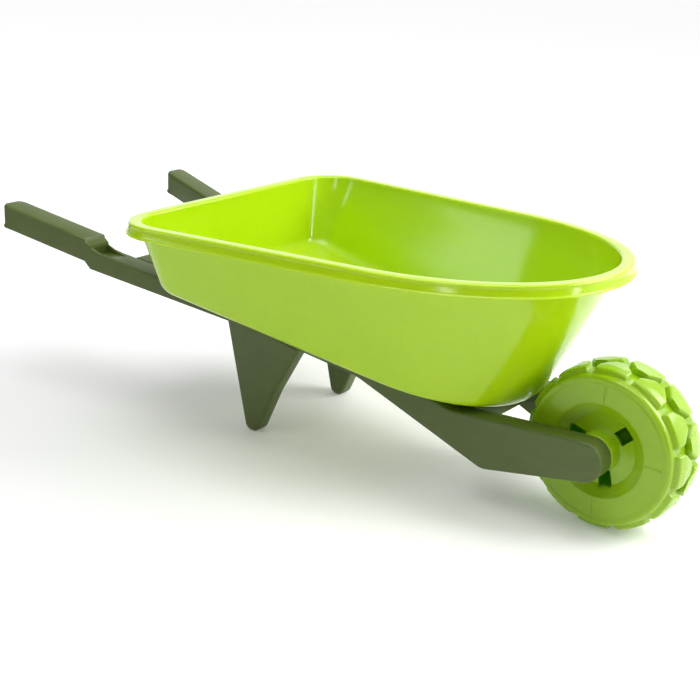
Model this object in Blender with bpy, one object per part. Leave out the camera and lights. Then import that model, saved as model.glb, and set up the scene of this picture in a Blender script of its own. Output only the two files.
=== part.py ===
"""A child's moulded garden wheelbarrow: one tray on two splayed shafts, two legs and one front wheel.

Metres, +X towards the wheel, +Y to the left-hand shaft, +Z up. The wheel and both feet stand on z = 0.
"""

import math

import bmesh
import bpy
from mathutils import Matrix, Vector

# Overall sizes
LENGTH = 0.7818
GAP = 0.0003

# Wheel and axle
WHEEL_RADIUS = 0.0785
WHEEL_HALF_WIDTH = 0.0285
TREAD_DEPTH = 0.0062
CROWN_Y = 0.0155
SHOULDER_Y = 0.0206
SHOULDER_DROP = 0.0013
LUG_FOOT_Y = 0.0218
LUG_TAPER_Y = 0.0110
BEAD_Y = 0.0260
BEAD_DROP = 0.0010
SIDEWALL_RADIUS = 0.0685
DISH_RADIUS = 0.0430
DISH_DEPTH = 0.0080
DISH_SLOPE = 0.0090
HUB_RADIUS = 0.0190
WHEEL_WALL = 0.0025
LUGS = 12
LUG_FILL = 0.78
LUG_NOSE = 0.45
SLOTS = 3
SLOT_ANGLE = 43.0
SLOT_WIDTH = 0.0138
SLOT_INNER = 0.0198
AXLE_RADIUS = 0.0040
AXLE_SEAT = 0.0140
HUB_PLAY = 0.0007

# Fork arms: where each bends, measured back from the wheel's rear edge and up or down from the axle
ARM_END_RADIUS = 0.0195
ARM_INNER_Y = 0.0375
ARM_WIDTH = 0.0205
ARM_TOP_BACK = 0.0569
ARM_TOP_RISE = 0.0118
ARM_KINK_BACK = 0.0202
ARM_KINK_DROP = 0.0371

# Deck line on which the tray rests, and the shafts below it
DECK_SETBACK = 0.0967
DECK_REAR_Z = 0.1492
DECK_ABOVE_ARM = 0.0077
SHAFT_DEPTH_REAR = 0.0208
SHAFT_DEPTH_TAPER = 0.0165
SHAFT_WALL = 0.0026
SHAFT_EDGE = 0.0016
SHAFT_BEND_FROM_LEG = 0.0407
SHAFT_BEND_Y = 0.0822
SHAFT_BEND_WIDTH = 0.0225
SHAFT_SPLAY = 0.1786
TAPER_SHARE = 0.3966
DIP_SHARE = 0.5647
INNER_WALL_DEPTH = 0.0200
RIB_PITCH = 0.0450
RIB_THICK = 0.0020

# Grips
GRIP_LENGTH = 0.1173
GRIP_WIDTH = 0.0296
GRIP_DEPTH = 0.0255
GRIP_RISE = 0.0460
GRIP_SLOPE = 0.1765
GRIP_ROUND = 0.0110
STEP_LENGTH = 0.0065
SHAFT_WIDTH_REAR = 0.0265
POCKET_LENGTH = 0.0330
POCKET_DEPTH = 0.0060
POCKET_LIP = 0.0034

# Legs
LEG_FROM_PLATE = 0.0022
LEG_FOOT_FORWARD = 0.0375
LEG_FOOT_RADIUS = 0.0100
LEG_FOOT_FLAT = 0.0060
LEG_TOP_LENGTH = 0.0975
LEG_WAIST_FORWARD = 0.0664
LEG_WAIST_Z = 0.0504
LEG_OUTER_Y = 0.0800
LEG_THICK = 0.0180
LEG_SPLAY = 0.020
LEG_WALL = 0.0026
TENON_INSET = 0.0120

# Rear cross plate and front cross bar
PLATE_SETBACK = 0.0456
PLATE_LENGTH = 0.1268
PLATE_DEPTH = 0.0160
PLATE_WALL = 0.0026
BAR_LENGTH = 0.0452
BAR_CLEARANCE = 0.0441
BAR_DEPTH = 0.0303

# Tray
TRAY_WALL = 0.0026
FLOOR_THICK = 0.0028
FLOOR_SETBACK = 0.1182
FLOOR_REAR_HALF = 0.1330
FLOOR_NOSE = 0.1082
FLOOR_SIDE_HALF = 0.1010
FLOOR_CORNER = 0.0280
FLOOR_FILLET = 0.0130
RIM_REAR_OVERHANG = 0.0141
RIM_FRONT_OVERHANG = 0.0691
RIM_REAR_HALF = 0.1660
RIM_NOSE = 0.1722
RIM_SIDE_HALF = 0.1387
RIM_CORNER = 0.0500
TRAY_REAR_DEPTH = 0.0741
TRAY_FRONT_DEPTH = 0.1405
TRAY_CLEARANCE = 0.0083
RIM_WIDTH = 0.0120
RIM_DROP = 0.0125
RIM_THICK = 0.0024
LIP_WIDTH = 0.0010

# Fasteners
SCREW_RADIUS = 0.0017
SCREW_HEAD_RADIUS = 0.0038
SCREW_HEAD_HEIGHT = 0.0020
SCREW_LENGTH = 0.0100
BOSS_RADIUS = 0.0052
BOSS_HEIGHT = 0.0110
PLATE_SCREW_INSET = 0.0300

# Placement that follows from the sizes above: the rear from the grips, the front from the wheel
AXLE_X = LENGTH / 2 - WHEEL_RADIUS
AXLE_Z = WHEEL_RADIUS
WHEEL_REAR_X = AXLE_X - WHEEL_RADIUS
GRIP_END_X = -LENGTH / 2
GRIP_FRONT_X = GRIP_END_X + GRIP_LENGTH
SHAFT_REAR_X = GRIP_FRONT_X + STEP_LENGTH
POCKET_END_X = SHAFT_REAR_X + POCKET_LENGTH
PLATE_REAR_X = GRIP_FRONT_X + PLATE_SETBACK
PLATE_FRONT_X = PLATE_REAR_X + PLATE_LENGTH
LEG_TOP_REAR_X = PLATE_FRONT_X + LEG_FROM_PLATE
LEG_TOP_FRONT_X = LEG_TOP_REAR_X + LEG_TOP_LENGTH
LEG_FOOT_X = LEG_TOP_REAR_X + LEG_FOOT_FORWARD
LEG_WAIST_X = LEG_TOP_REAR_X + LEG_WAIST_FORWARD
SHAFT_BEND_X = LEG_TOP_REAR_X + SHAFT_BEND_FROM_LEG
ARM_TOP_X = WHEEL_REAR_X - ARM_TOP_BACK
ARM_TOP_Z = AXLE_Z + ARM_TOP_RISE
ARM_KINK_X = WHEEL_REAR_X - ARM_KINK_BACK
ARM_KINK_Z = AXLE_Z - ARM_KINK_DROP
SHAFT_TAPER_X = LEG_TOP_FRONT_X + TAPER_SHARE * (ARM_TOP_X - LEG_TOP_FRONT_X)
DIP_START_X = LEG_TOP_FRONT_X + DIP_SHARE * (ARM_TOP_X - LEG_TOP_FRONT_X)
BAR_FRONT_X = WHEEL_REAR_X - BAR_CLEARANCE
BAR_REAR_X = BAR_FRONT_X - BAR_LENGTH
DECK_X = GRIP_FRONT_X + DECK_SETBACK
DECK_FRONT_Z = ARM_TOP_Z + DECK_ABOVE_ARM
DECK_SLOPE = (DECK_REAR_Z - DECK_FRONT_Z) / (ARM_TOP_X - DECK_X)
DECK_ANGLE = math.atan(DECK_SLOPE)
BAR_BOTTOM_Z = DECK_FRONT_Z - BAR_DEPTH
GRIP_TOP_Z = DECK_REAR_Z + GRIP_RISE
RIM_REAR_Z = DECK_REAR_Z + TRAY_REAR_DEPTH
RIM_FRONT_Z = DECK_FRONT_Z + TRAY_FRONT_DEPTH
FLOOR_REAR_X = GRIP_FRONT_X + FLOOR_SETBACK
RIM_REAR_X = FLOOR_REAR_X - RIM_REAR_OVERHANG
DECK_NORMAL = Vector((math.sin(DECK_ANGLE), 0.0, math.cos(DECK_ANGLE)))
RIGHT, LEFT = -1, 1
FULL_TURN = 2 * math.pi


def clear_scene():
    for obj in list(bpy.data.objects):
        bpy.data.objects.remove(obj)


def plastic(name, colour, roughness, metallic=0.0):
    material = bpy.data.materials.new(name)
    material.use_nodes = True
    shader = material.node_tree.nodes["Principled BSDF"]
    shader.inputs["Base Color"].default_value = (*colour, 1.0)
    shader.inputs["Roughness"].default_value = roughness
    shader.inputs["Metallic"].default_value = metallic
    return material


def make_object(name, bm, material=None):
    bmesh.ops.recalc_face_normals(bm, faces=bm.faces)
    mesh = bpy.data.meshes.new(name)
    bm.to_mesh(mesh)
    bm.free()
    obj = bpy.data.objects.new(name, mesh)
    bpy.context.scene.collection.objects.link(obj)
    if material is not None:
        mesh.materials.append(material)
    return obj


def smooth(obj, degrees=38.0):
    for face in obj.data.polygons:
        face.use_smooth = True
    obj.data.set_sharp_from_angle(angle=math.radians(degrees))


def loft(rings, wrap=False):
    """Joins closed rings of points; the first and last are capped, or joined to each other."""
    bm = bmesh.new()
    rows = [[bm.verts.new(point) for point in ring] for ring in rings]
    pairs = list(zip(rows, rows[1:]))
    if wrap:
        pairs.append((rows[-1], rows[0]))
    for low, high in pairs:
        for i, vert in enumerate(low):
            after = (i + 1) % len(low)
            bm.faces.new((vert, low[after], high[after], high[i]))
    if not wrap:
        bm.faces.new(rows[0])
        bm.faces.new(rows[-1])
    return bm


def boolean(obj, tool, operation="DIFFERENCE"):
    modifier = obj.modifiers.new(operation.title() + "_" + tool.name, "BOOLEAN")
    modifier.operation = operation
    modifier.solver = "EXACT"
    modifier.object = tool
    tool.hide_render = True
    tool.display_type = "WIRE"


def rod(name, start, direction, length, radius, sides=16, material=None):
    """A cylinder from start along direction."""
    direction = Vector(direction).normalized()
    turn = direction.to_track_quat("Z", "Y").to_matrix()
    rings = []
    for height in (0.0, length):
        rings.append([
            Vector(start) + turn @ Vector((
                radius * math.cos(FULL_TURN * i / sides),
                radius * math.sin(FULL_TURN * i / sides),
                height,
            ))
            for i in range(sides)
        ])
    return make_object(name, loft(rings), material)


def mix(a, b, t):
    return a + (b - a) * t


def through(x, points):
    """The height at x of a line through (x, height) points."""
    for (x0, z0), (x1, z1) in zip(points, points[1:]):
        if x <= x1:
            return mix(z0, z1, (x - x0) / (x1 - x0))
    return points[-1][1]


def bezier(a, b, c, d, count):
    """Points of a cubic curve after its start, its end included."""
    found = []
    for i in range(1, count + 1):
        t = i / count
        found.append(
            a * (1 - t) ** 3 + b * 3 * t * (1 - t) ** 2 + c * 3 * t * t * (1 - t) + d * t ** 3
        )
    return found


# Shafts

def deck_z(x):
    return DECK_REAR_Z - DECK_SLOPE * (x - DECK_X)


def grip_z(x):
    return GRIP_TOP_Z - GRIP_SLOPE * (x - GRIP_END_X)


def shaft_outer_y(x):
    if x < SHAFT_BEND_X:
        return SHAFT_BEND_Y + SHAFT_SPLAY * (SHAFT_BEND_X - x)
    end = ARM_INNER_Y + ARM_WIDTH
    return mix(SHAFT_BEND_Y, end, (x - SHAFT_BEND_X) / (AXLE_X - SHAFT_BEND_X))


def shaft_width(x):
    if x < SHAFT_BEND_X:
        return mix(SHAFT_BEND_WIDTH, SHAFT_WIDTH_REAR, (SHAFT_BEND_X - x) / (SHAFT_BEND_X - SHAFT_REAR_X))
    return mix(SHAFT_BEND_WIDTH, ARM_WIDTH, (x - SHAFT_BEND_X) / (AXLE_X - SHAFT_BEND_X))


def shaft_inner_y(x):
    return shaft_outer_y(x) - shaft_width(x)


def shaft_top_z(x):
    if x <= DIP_START_X:
        return deck_z(x)
    end_x, end_z = arm_tangent(1)
    return through(x, ((DIP_START_X, deck_z(DIP_START_X)), (ARM_TOP_X, ARM_TOP_Z), (end_x, end_z)))


def shaft_bottom_z(x):
    if x <= SHAFT_TAPER_X:
        along = (x - SHAFT_REAR_X) / (SHAFT_TAPER_X - SHAFT_REAR_X)
        return deck_z(x) - mix(SHAFT_DEPTH_REAR, SHAFT_DEPTH_TAPER, along)
    taper_z = deck_z(SHAFT_TAPER_X) - SHAFT_DEPTH_TAPER
    end_x, end_z = arm_tangent(-1)
    return through(x, ((SHAFT_TAPER_X, taper_z), (ARM_KINK_X, ARM_KINK_Z), (end_x, end_z)))


def arm_tangent(side):
    """Where the arm's top (1) or bottom (-1) edge runs onto its round end."""
    from_x, from_z = (ARM_TOP_X, ARM_TOP_Z) if side > 0 else (ARM_KINK_X, ARM_KINK_Z)
    across, up = AXLE_X - from_x, AXLE_Z - from_z
    angle = math.atan2(up, across) + side * math.asin(ARM_END_RADIUS / math.hypot(across, up))
    return (
        AXLE_X - side * ARM_END_RADIUS * math.sin(angle),
        AXLE_Z + side * ARM_END_RADIUS * math.cos(angle),
    )


def shaft_section(x, side, top, bottom, outer, inner, edge=SHAFT_EDGE):
    edge = min(edge, 0.3 * (top - bottom), 0.3 * (outer - inner))
    return [
        (x, side * outer, top - edge),
        (x, side * (outer - edge), top),
        (x, side * (inner + edge), top),
        (x, side * inner, top - edge),
        (x, side * inner, bottom),
        (x, side * outer, bottom),
    ]


def arm_stations():
    """(x, top, bottom) around the arm's round end."""
    top_x, top_z = arm_tangent(1)
    bottom_x, bottom_z = arm_tangent(-1)
    found = [(min(top_x, bottom_x) - 0.0005, None, None)]
    for angle in (8, 24, 40, 56, 72, 84):
        reach = ARM_END_RADIUS * math.sin(math.radians(angle))
        rise = ARM_END_RADIUS * math.cos(math.radians(angle))
        if AXLE_X + reach > max(top_x, bottom_x):
            found.append((AXLE_X + reach, AXLE_Z + rise, AXLE_Z - rise))
    return found


def grip_width_at(x):
    along = (x - GRIP_END_X) / GRIP_ROUND
    if along >= 1:
        return GRIP_WIDTH
    return GRIP_WIDTH * max(0.42, (1 - (1 - along) ** 2.4) ** (1 / 2.4))


def grip_middle_y(x):
    return shaft_outer_y(x) - GRIP_WIDTH / 2


def grip_section(x, side):
    middle, half = grip_middle_y(x), grip_width_at(x) / 2
    top = grip_z(x)
    return shaft_section(x, side, top, top - GRIP_DEPTH, middle + half, middle - half, 0.0028)


def shaft_body(name, side, material):
    rings = []
    for along in (0.0, 0.0012, 0.0035, 0.0075, GRIP_ROUND):
        rings.append(grip_section(GRIP_END_X + along, side))
    rings.append(grip_section(GRIP_FRONT_X, side))
    stops = [SHAFT_REAR_X, POCKET_END_X, SHAFT_BEND_X, SHAFT_TAPER_X, DIP_START_X, ARM_TOP_X, ARM_KINK_X]
    for x in sorted(stops):
        rings.append(
            shaft_section(x, side, shaft_top_z(x), shaft_bottom_z(x), shaft_outer_y(x), shaft_inner_y(x))
        )
    for x, top, bottom in arm_stations():
        if top is None:
            top, bottom = shaft_top_z(x), shaft_bottom_z(x)
        reach = min(x, AXLE_X)
        rings.append(shaft_section(x, side, top, bottom, shaft_outer_y(reach), shaft_inner_y(reach)))
    return make_object(name, loft(rings), material)


def channel_cutter(name, side, start, end):
    """The space between a shaft's walls, from one rib to the next."""
    stops = [start] + [x for x in (SHAFT_BEND_X, SHAFT_TAPER_X, DIP_START_X, ARM_TOP_X, ARM_KINK_X)
                       if start < x < end] + [end]
    rings = []
    for x in stops:
        outer = shaft_outer_y(x) - SHAFT_WALL
        inner = shaft_inner_y(x) + SHAFT_WALL
        top, bottom = shaft_top_z(x) - SHAFT_WALL, shaft_bottom_z(x) - 0.01
        rings.append([(x, side * y, z) for y, z in ((outer, top), (inner, top), (inner, bottom), (outer, bottom))])
    return make_object(name, loft(rings))


def inner_wall_cutter(name, side):
    """Takes away the inner wall of the arm below its short depth."""
    end = AXLE_X - ARM_END_RADIUS - SHAFT_WALL
    stops = [SHAFT_TAPER_X, DIP_START_X, ARM_TOP_X, ARM_KINK_X, end]
    rings = []
    for x in stops:
        top = shaft_top_z(x) - INNER_WALL_DEPTH
        bottom = min(shaft_bottom_z(x), top) - 0.012
        outer = shaft_inner_y(x) + SHAFT_WALL + 0.0002
        inner = shaft_inner_y(x) - 0.01
        rings.append([(x, side * y, z) for y, z in ((outer, top), (inner, top), (inner, bottom), (outer, bottom))])
    return make_object(name, loft(rings))


def grip_cutter(name, side):
    start, end = GRIP_END_X + SHAFT_WALL + 0.004, GRIP_FRONT_X - SHAFT_WALL
    rings = []
    for x in (start, start + 0.004, GRIP_END_X + GRIP_ROUND + 0.003, end):
        middle = grip_middle_y(x)
        half = grip_width_at(x - SHAFT_WALL) / 2 - SHAFT_WALL
        top = grip_z(x) - SHAFT_WALL
        bottom = top - GRIP_DEPTH - 0.01
        rings.append([
            (x, side * y, z)
            for y, z in ((middle + half, top), (middle - half, top), (middle - half, bottom), (middle + half, bottom))
        ])
    return make_object(name, loft(rings))


def pocket_cutter(name, side):
    """The wedge-shaped dip in the shaft's top in front of the grip's step."""
    rings = []
    for x, depth in ((SHAFT_REAR_X - 0.0015, POCKET_DEPTH), (POCKET_END_X, 0.0)):
        outer = shaft_outer_y(x) - POCKET_LIP
        inner = shaft_inner_y(x) + POCKET_LIP
        low, high = deck_z(x) - depth, deck_z(x) + 0.012
        rings.append([(x, side * y, z) for y, z in ((outer, high), (inner, high), (inner, low), (outer, low))])
    return make_object(name, loft(rings))


def leg_bay():
    """The stretch of shaft that holds a leg's tenon."""
    return LEG_TOP_REAR_X + TENON_INSET - GAP, LEG_TOP_FRONT_X - TENON_INSET + GAP


def channel_bays():
    """Start and end of each hollow bay along a shaft, ribs left between them."""
    bay_start, bay_end = leg_bay()
    first = POCKET_END_X + SHAFT_WALL
    last = AXLE_X - ARM_END_RADIUS - SHAFT_WALL
    bays = [(bay_start, bay_end)]
    for start, end in ((first, bay_start - RIB_THICK), (bay_end + RIB_THICK, last)):
        count = max(1, round((end - start) / RIB_PITCH))
        step = (end - start) / count
        for i in range(count):
            low = start + i * step
            high = low + step - (RIB_THICK if i < count - 1 else 0.0)
            bays.append((low, high))
    return sorted(bays)


def build_shaft(label, side, material):
    shaft = shaft_body(label + "_shaft", side, material)
    boolean(shaft, grip_cutter(label + "_grip_hollow", side))
    boolean(shaft, pocket_cutter(label + "_pocket", side))
    for i, (start, end) in enumerate(channel_bays()):
        boolean(shaft, channel_cutter(f"{label}_bay_{i}", side, start, end))
    boolean(shaft, inner_wall_cutter(label + "_arm_relief", side))
    seat = rod(
        label + "_axle_seat",
        (AXLE_X, side * (ARM_INNER_Y - 0.002), AXLE_Z),
        (0, side, 0),
        AXLE_SEAT + 0.002,
        AXLE_RADIUS + GAP,
        20,
    )
    boolean(shaft, seat)
    return shaft


# Legs

def leg_outline(inset=0.0):
    """The leg's side view, from the rear top corner round the foot to the front top corner."""
    points = []
    rear_slope = (LEG_FOOT_X - LEG_FOOT_RADIUS - LEG_TOP_REAR_X) / (leg_top_z(LEG_TOP_REAR_X) - LEG_FOOT_RADIUS)
    points.append((LEG_TOP_REAR_X + inset, leg_top_z(LEG_TOP_REAR_X)))
    radius = LEG_FOOT_RADIUS - inset
    start = math.pi + math.atan(rear_slope)
    front_lean = math.atan2(
        LEG_WAIST_X - LEG_FOOT_X - LEG_FOOT_RADIUS * 0.94, LEG_WAIST_Z - LEG_FOOT_RADIUS * 0.6
    )
    end = FULL_TURN - front_lean
    flat = math.asin(min(0.9, LEG_FOOT_FLAT / 2 / radius))
    low, high = 1.5 * math.pi - flat, 1.5 * math.pi + flat
    drop = LEG_FOOT_RADIUS * math.cos(math.asin(min(0.9, LEG_FOOT_FLAT / 2 / LEG_FOOT_RADIUS)))
    for u in (0.0, 0.25, 0.5, 0.75, 1.0):
        angle = mix(start, low, u)
        points.append((LEG_FOOT_X + radius * math.cos(angle), drop + radius * math.sin(angle)))
    for u in (0.0, 0.25, 0.5, 0.75, 1.0):
        angle = mix(high, end, u)
        points.append((LEG_FOOT_X + radius * math.cos(angle), drop + radius * math.sin(angle)))
    points.append((LEG_WAIST_X - inset, LEG_WAIST_Z))
    points.append((LEG_TOP_FRONT_X - inset, leg_top_z(LEG_TOP_FRONT_X)))
    return points


def leg_top_z(x):
    return shaft_bottom_z(x) - GAP


def leg_outer_y(x):
    return LEG_OUTER_Y - LEG_SPLAY * (x - LEG_FOOT_X)


def leg_faces(side, outline, outer_inset, inner_inset):
    rings = []
    for inset in (outer_inset, LEG_THICK - inner_inset):
        rings.append([(x, side * (leg_outer_y(x) - inset), z) for x, z in outline])
    return rings


def build_leg(label, side, material):
    leg = make_object(label + "_leg", loft(leg_faces(side, leg_outline(), 0.0, 0.0)), material)
    start, end = leg_bay()
    rings = []
    for x in (start + GAP, SHAFT_BEND_X, end - GAP):
        outer = shaft_outer_y(x) - SHAFT_WALL - GAP
        inner = shaft_inner_y(x) + SHAFT_WALL + GAP
        top, bottom = shaft_top_z(x) - SHAFT_WALL - GAP, leg_top_z(x) - 0.006
        outer_low = min(outer, leg_outer_y(x) - 0.001)
        inner_low = max(inner, leg_outer_y(x) - LEG_THICK + 0.001)
        rings.append([
            (x, side * outer, top),
            (x, side * inner, top),
            (x, side * inner, leg_top_z(x) + GAP),
            (x, side * inner_low, bottom),
            (x, side * outer_low, bottom),
            (x, side * outer, leg_top_z(x) + GAP),
        ])
    boolean(leg, make_object(label + "_leg_tenon", loft(rings)), "UNION")
    boolean(leg, leg_hollow(label, side, start, end))
    return leg


def leg_hollow(label, side, start, end):
    """The hollow down the leg, open at the tenon's top."""
    foot = LEG_FOOT_RADIUS + LEG_WALL
    rings = []
    for z, low, high in (
        (foot, LEG_FOOT_X - 0.005, LEG_FOOT_X + 0.006),
        (LEG_WAIST_Z, LEG_FOOT_X - 0.017, LEG_WAIST_X - 2.2 * LEG_WALL),
        (leg_top_z(LEG_TOP_REAR_X) - 0.022, start + 2.0 * LEG_WALL, end - 2.0 * LEG_WALL),
        (deck_z(start) + 0.01, start + 2.0 * LEG_WALL, end - 2.0 * LEG_WALL),
    ):
        ring = []
        for x, depth in ((low, LEG_WALL), (high, LEG_WALL), (high, LEG_THICK - LEG_WALL), (low, LEG_THICK - LEG_WALL)):
            ring.append((x, side * (leg_outer_y(x) - depth), z))
        rings.append(ring)
    return make_object(label + "_leg_hollow", loft(rings))


# Cross members

def pan(name, rings_top, depth_of, wall, plate, material):
    """A plate with downturned walls: top outline, the height of its lower edge at each corner, wall and plate."""
    centre = sum((Vector(point) for point in rings_top), Vector()) / len(rings_top)
    inset = []
    for point in rings_top:
        point = Vector(point)
        inset.append(Vector((
            point.x + math.copysign(wall, centre.x - point.x),
            point.y + math.copysign(wall, centre.y - point.y),
            deck_z(point.x + math.copysign(wall, centre.x - point.x)) - plate,
        )))
    top = [Vector(point) for point in rings_top]
    outer_low = [Vector((point.x, point.y, depth_of(point.x))) for point in top]
    inner_low = [Vector((point.x, point.y, depth_of(point.x))) for point in inset]
    return make_object(name, loft([top, outer_low, inner_low, inset]), material)


def cross_outline(rear, front):
    """The corners between the shafts' inner faces, on the deck plane."""
    return [
        (x, s * (shaft_inner_y(x) - GAP), deck_z(x))
        for x, s in ((rear, RIGHT), (rear, LEFT), (front, LEFT), (front, RIGHT))
    ]


def tray_screw_places():
    """(name, x, y) of each screw through the tray's floor."""
    rear_x = mix(PLATE_REAR_X, PLATE_FRONT_X, 0.80)
    front_x = (BAR_REAR_X + BAR_FRONT_X) / 2
    found = []
    for row, x, y in (("rear", rear_x, 0.6 * shaft_inner_y(rear_x)), ("front", front_x, 0.45 * shaft_inner_y(front_x))):
        found.append((f"tray_screw_{row}_right", x, -y))
        found.append((f"tray_screw_{row}_left", x, y))
    return found


def deck_point(x, y, above=0.0):
    """The point above (x, y) on the deck plane by a distance along the deck's normal."""
    return Vector((x, y, deck_z(x))) + DECK_NORMAL * above


def build_cross_members(material):
    plate = pan(
        "rear_crossplate",
        cross_outline(PLATE_REAR_X, PLATE_FRONT_X),
        lambda x: deck_z(x) - PLATE_DEPTH,
        PLATE_WALL,
        PLATE_WALL,
        material,
    )
    bar = pan(
        "front_crossbar",
        cross_outline(BAR_REAR_X, BAR_FRONT_X),
        lambda x: BAR_BOTTOM_Z,
        PLATE_WALL,
        PLATE_WALL,
        material,
    )
    for name, x, y in tray_screw_places():
        member = plate if "rear" in name else bar
        top = deck_point(x, y, -0.5 * PLATE_WALL)
        boolean(member, rod(name + "_boss", top, -DECK_NORMAL, BOSS_HEIGHT, BOSS_RADIUS, 12), "UNION")
    return plate, bar


# Tray

def floor_front_x():
    """The floor's front end, with the nose wall standing TRAY_CLEARANCE clear of the wheel."""
    front = WHEEL_REAR_X
    for _ in range(20):
        rise = RIM_FRONT_Z - deck_z(front)
        reach = (WHEEL_RADIUS + TRAY_CLEARANCE) * math.hypot(RIM_FRONT_OVERHANG, rise)
        front = AXLE_X - (reach + (AXLE_Z - deck_z(front)) * RIM_FRONT_OVERHANG) / rise
    return front


def half_outline(rear_x, front_x, rear_half, side_x, side_half, corner):
    """Points from the rear centre round the left side to the front centre."""
    side = Vector((side_x - rear_x, side_half - rear_half)).normalized()
    top_corner = Vector((rear_x, rear_half))
    arc_start = Vector((rear_x, rear_half - corner))
    arc_end = top_corner + side * corner
    shoulder = Vector((side_x, side_half))
    tip = Vector((front_x, 0.0))
    points = [Vector((rear_x, 0.0)), arc_start]
    points += bezier(
        arc_start, arc_start + Vector((0, 0.56 * corner)), arc_end - side * 0.56 * corner, arc_end, 6
    )
    for t in (0.34, 0.67, 1.0):
        points.append(arc_end.lerp(shoulder, t))
    points += bezier(
        shoulder,
        shoulder + side * 0.5523 * (front_x - side_x),
        tip + Vector((0.0, 0.5523 * side_half)),
        tip,
        12,
    )
    return points


def full_outline(*sizes):
    half = half_outline(*sizes)
    return half + [Vector((point.x, -point.y)) for point in reversed(half[1:-1])]


def outward(points):
    """The plan normal at each point of a closed outline that runs clockwise seen from above."""
    found = []
    for i, point in enumerate(points):
        along = points[(i + 1) % len(points)] - points[i - 1]
        found.append(Vector((-along.y, along.x)).normalized())
    return found


def rim_z(x):
    front = floor_front_x() + RIM_FRONT_OVERHANG
    return mix(RIM_REAR_Z, RIM_FRONT_Z, (x - RIM_REAR_X) / (front - RIM_REAR_X))


def tray_rings():
    floor_front = floor_front_x()
    rim_front = floor_front + RIM_FRONT_OVERHANG
    low = full_outline(
        FLOOR_REAR_X, floor_front, FLOOR_REAR_HALF, floor_front - FLOOR_NOSE, FLOOR_SIDE_HALF, FLOOR_CORNER
    )
    high = full_outline(
        RIM_REAR_X, rim_front, RIM_REAR_HALF, rim_front - RIM_NOSE, RIM_SIDE_HALF, RIM_CORNER
    )
    low_out, high_out = outward(low), outward(high)

    def rim_ring(out, drop):
        ring = []
        for point, normal in zip(high, high_out):
            place = point + normal * out
            ring.append(Vector((place.x, place.y, rim_z(place.x) - drop)))
        return ring

    def floor_ring(out, rise):
        ring = []
        for point, normal in zip(low, low_out):
            place = point + normal * out
            ring.append(Vector((place.x, place.y, deck_z(place.x) + GAP + rise)))
        return ring

    def wall_and_fillet(top, corner, flat, radius):
        """The wall's foot, curving from the wall between top and corner onto the flat floor."""
        rings = []
        for u in (0.0, 0.25, 0.5, 0.75, 1.0):
            ring = []
            for above, edge, inside in zip(top, corner, flat):
                reach = min(0.5, radius / (above - edge).length)
                start = edge.lerp(above, reach)
                ring.append(start * (1 - u) ** 2 + edge * 2 * u * (1 - u) + inside * u * u)
            rings.append(ring)
        return rings

    outer_top = rim_ring(-0.0006, RIM_THICK + 0.0030)
    inner_top = rim_ring(-0.0006 - TRAY_WALL, RIM_THICK + 0.0022)
    outer_foot = wall_and_fillet(outer_top, floor_ring(0, 0), floor_ring(-FLOOR_FILLET, 0), FLOOR_FILLET)
    inner_radius = FLOOR_FILLET - TRAY_WALL
    inner_foot = wall_and_fillet(
        inner_top,
        floor_ring(-TRAY_WALL, FLOOR_THICK),
        floor_ring(-TRAY_WALL - inner_radius, FLOOR_THICK),
        inner_radius,
    )
    rim = [
        rim_ring(RIM_WIDTH * 0.45, RIM_THICK + 0.0002),
        rim_ring(RIM_WIDTH - RIM_THICK - 0.0016, RIM_THICK + 0.0014),
        rim_ring(RIM_WIDTH - RIM_THICK - 0.0004, RIM_THICK + 0.0040),
        rim_ring(RIM_WIDTH - RIM_THICK, RIM_DROP),
        rim_ring(RIM_WIDTH + LIP_WIDTH, RIM_DROP),
        rim_ring(RIM_WIDTH + LIP_WIDTH, RIM_DROP - 0.0018),
        rim_ring(RIM_WIDTH, RIM_DROP - 0.0028),
        rim_ring(RIM_WIDTH - 0.0004, 0.0042),
        rim_ring(RIM_WIDTH - 0.0014, 0.0020),
        rim_ring(RIM_WIDTH - 0.0036, 0.0007),
        rim_ring(RIM_WIDTH * 0.30, 0.0),
        rim_ring(-0.0004, 0.0003),
        rim_ring(-0.0022, 0.0014),
    ]
    return list(reversed(outer_foot)) + [outer_top] + rim + [inner_top] + inner_foot


def build_tray(material):
    tray = make_object("tray", loft(tray_rings()), material)
    smooth(tray)
    return tray


# Screws

def build_screw(name, seat, direction, material):
    """A pan-head screw whose head rests on seat and whose shank runs along direction."""
    direction = Vector(direction).normalized()
    turn = direction.to_track_quat("Z", "Y").to_matrix()
    rings = []
    for radius, height in (
        (0.55 * SCREW_HEAD_RADIUS, -SCREW_HEAD_HEIGHT),
        (0.90 * SCREW_HEAD_RADIUS, -0.7 * SCREW_HEAD_HEIGHT),
        (SCREW_HEAD_RADIUS, -GAP),
        (SCREW_RADIUS, -GAP),
        (SCREW_RADIUS, 0.8 * SCREW_LENGTH),
        (0.3 * SCREW_RADIUS, SCREW_LENGTH),
    ):
        rings.append([
            Vector(seat) + turn @ Vector((
                radius * math.cos(FULL_TURN * i / 10), radius * math.sin(FULL_TURN * i / 10), height
            ))
            for i in range(10)
        ])
    screw = make_object(name, loft(rings), material)
    smooth(screw)
    return screw


def drill(name, seat, direction, targets, depth=SCREW_LENGTH + 0.0015):
    """One hole with the screw's clearance through each target."""
    direction = Vector(direction).normalized()
    hole = rod(name + "_hole", Vector(seat) - direction * 0.0015, direction, depth + 0.0015, SCREW_RADIUS + GAP, 10)
    for target in targets:
        boolean(target, hole)


def fit_tray_screws(tray, plate, bar, material):
    for name, x, y in tray_screw_places():
        seat = deck_point(x, y, GAP / math.cos(DECK_ANGLE) + FLOOR_THICK * math.cos(DECK_ANGLE))
        member = plate if "rear" in name else bar
        drill(name, seat, -DECK_NORMAL, (tray, member))
        build_screw(name, seat, -DECK_NORMAL, material)


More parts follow.
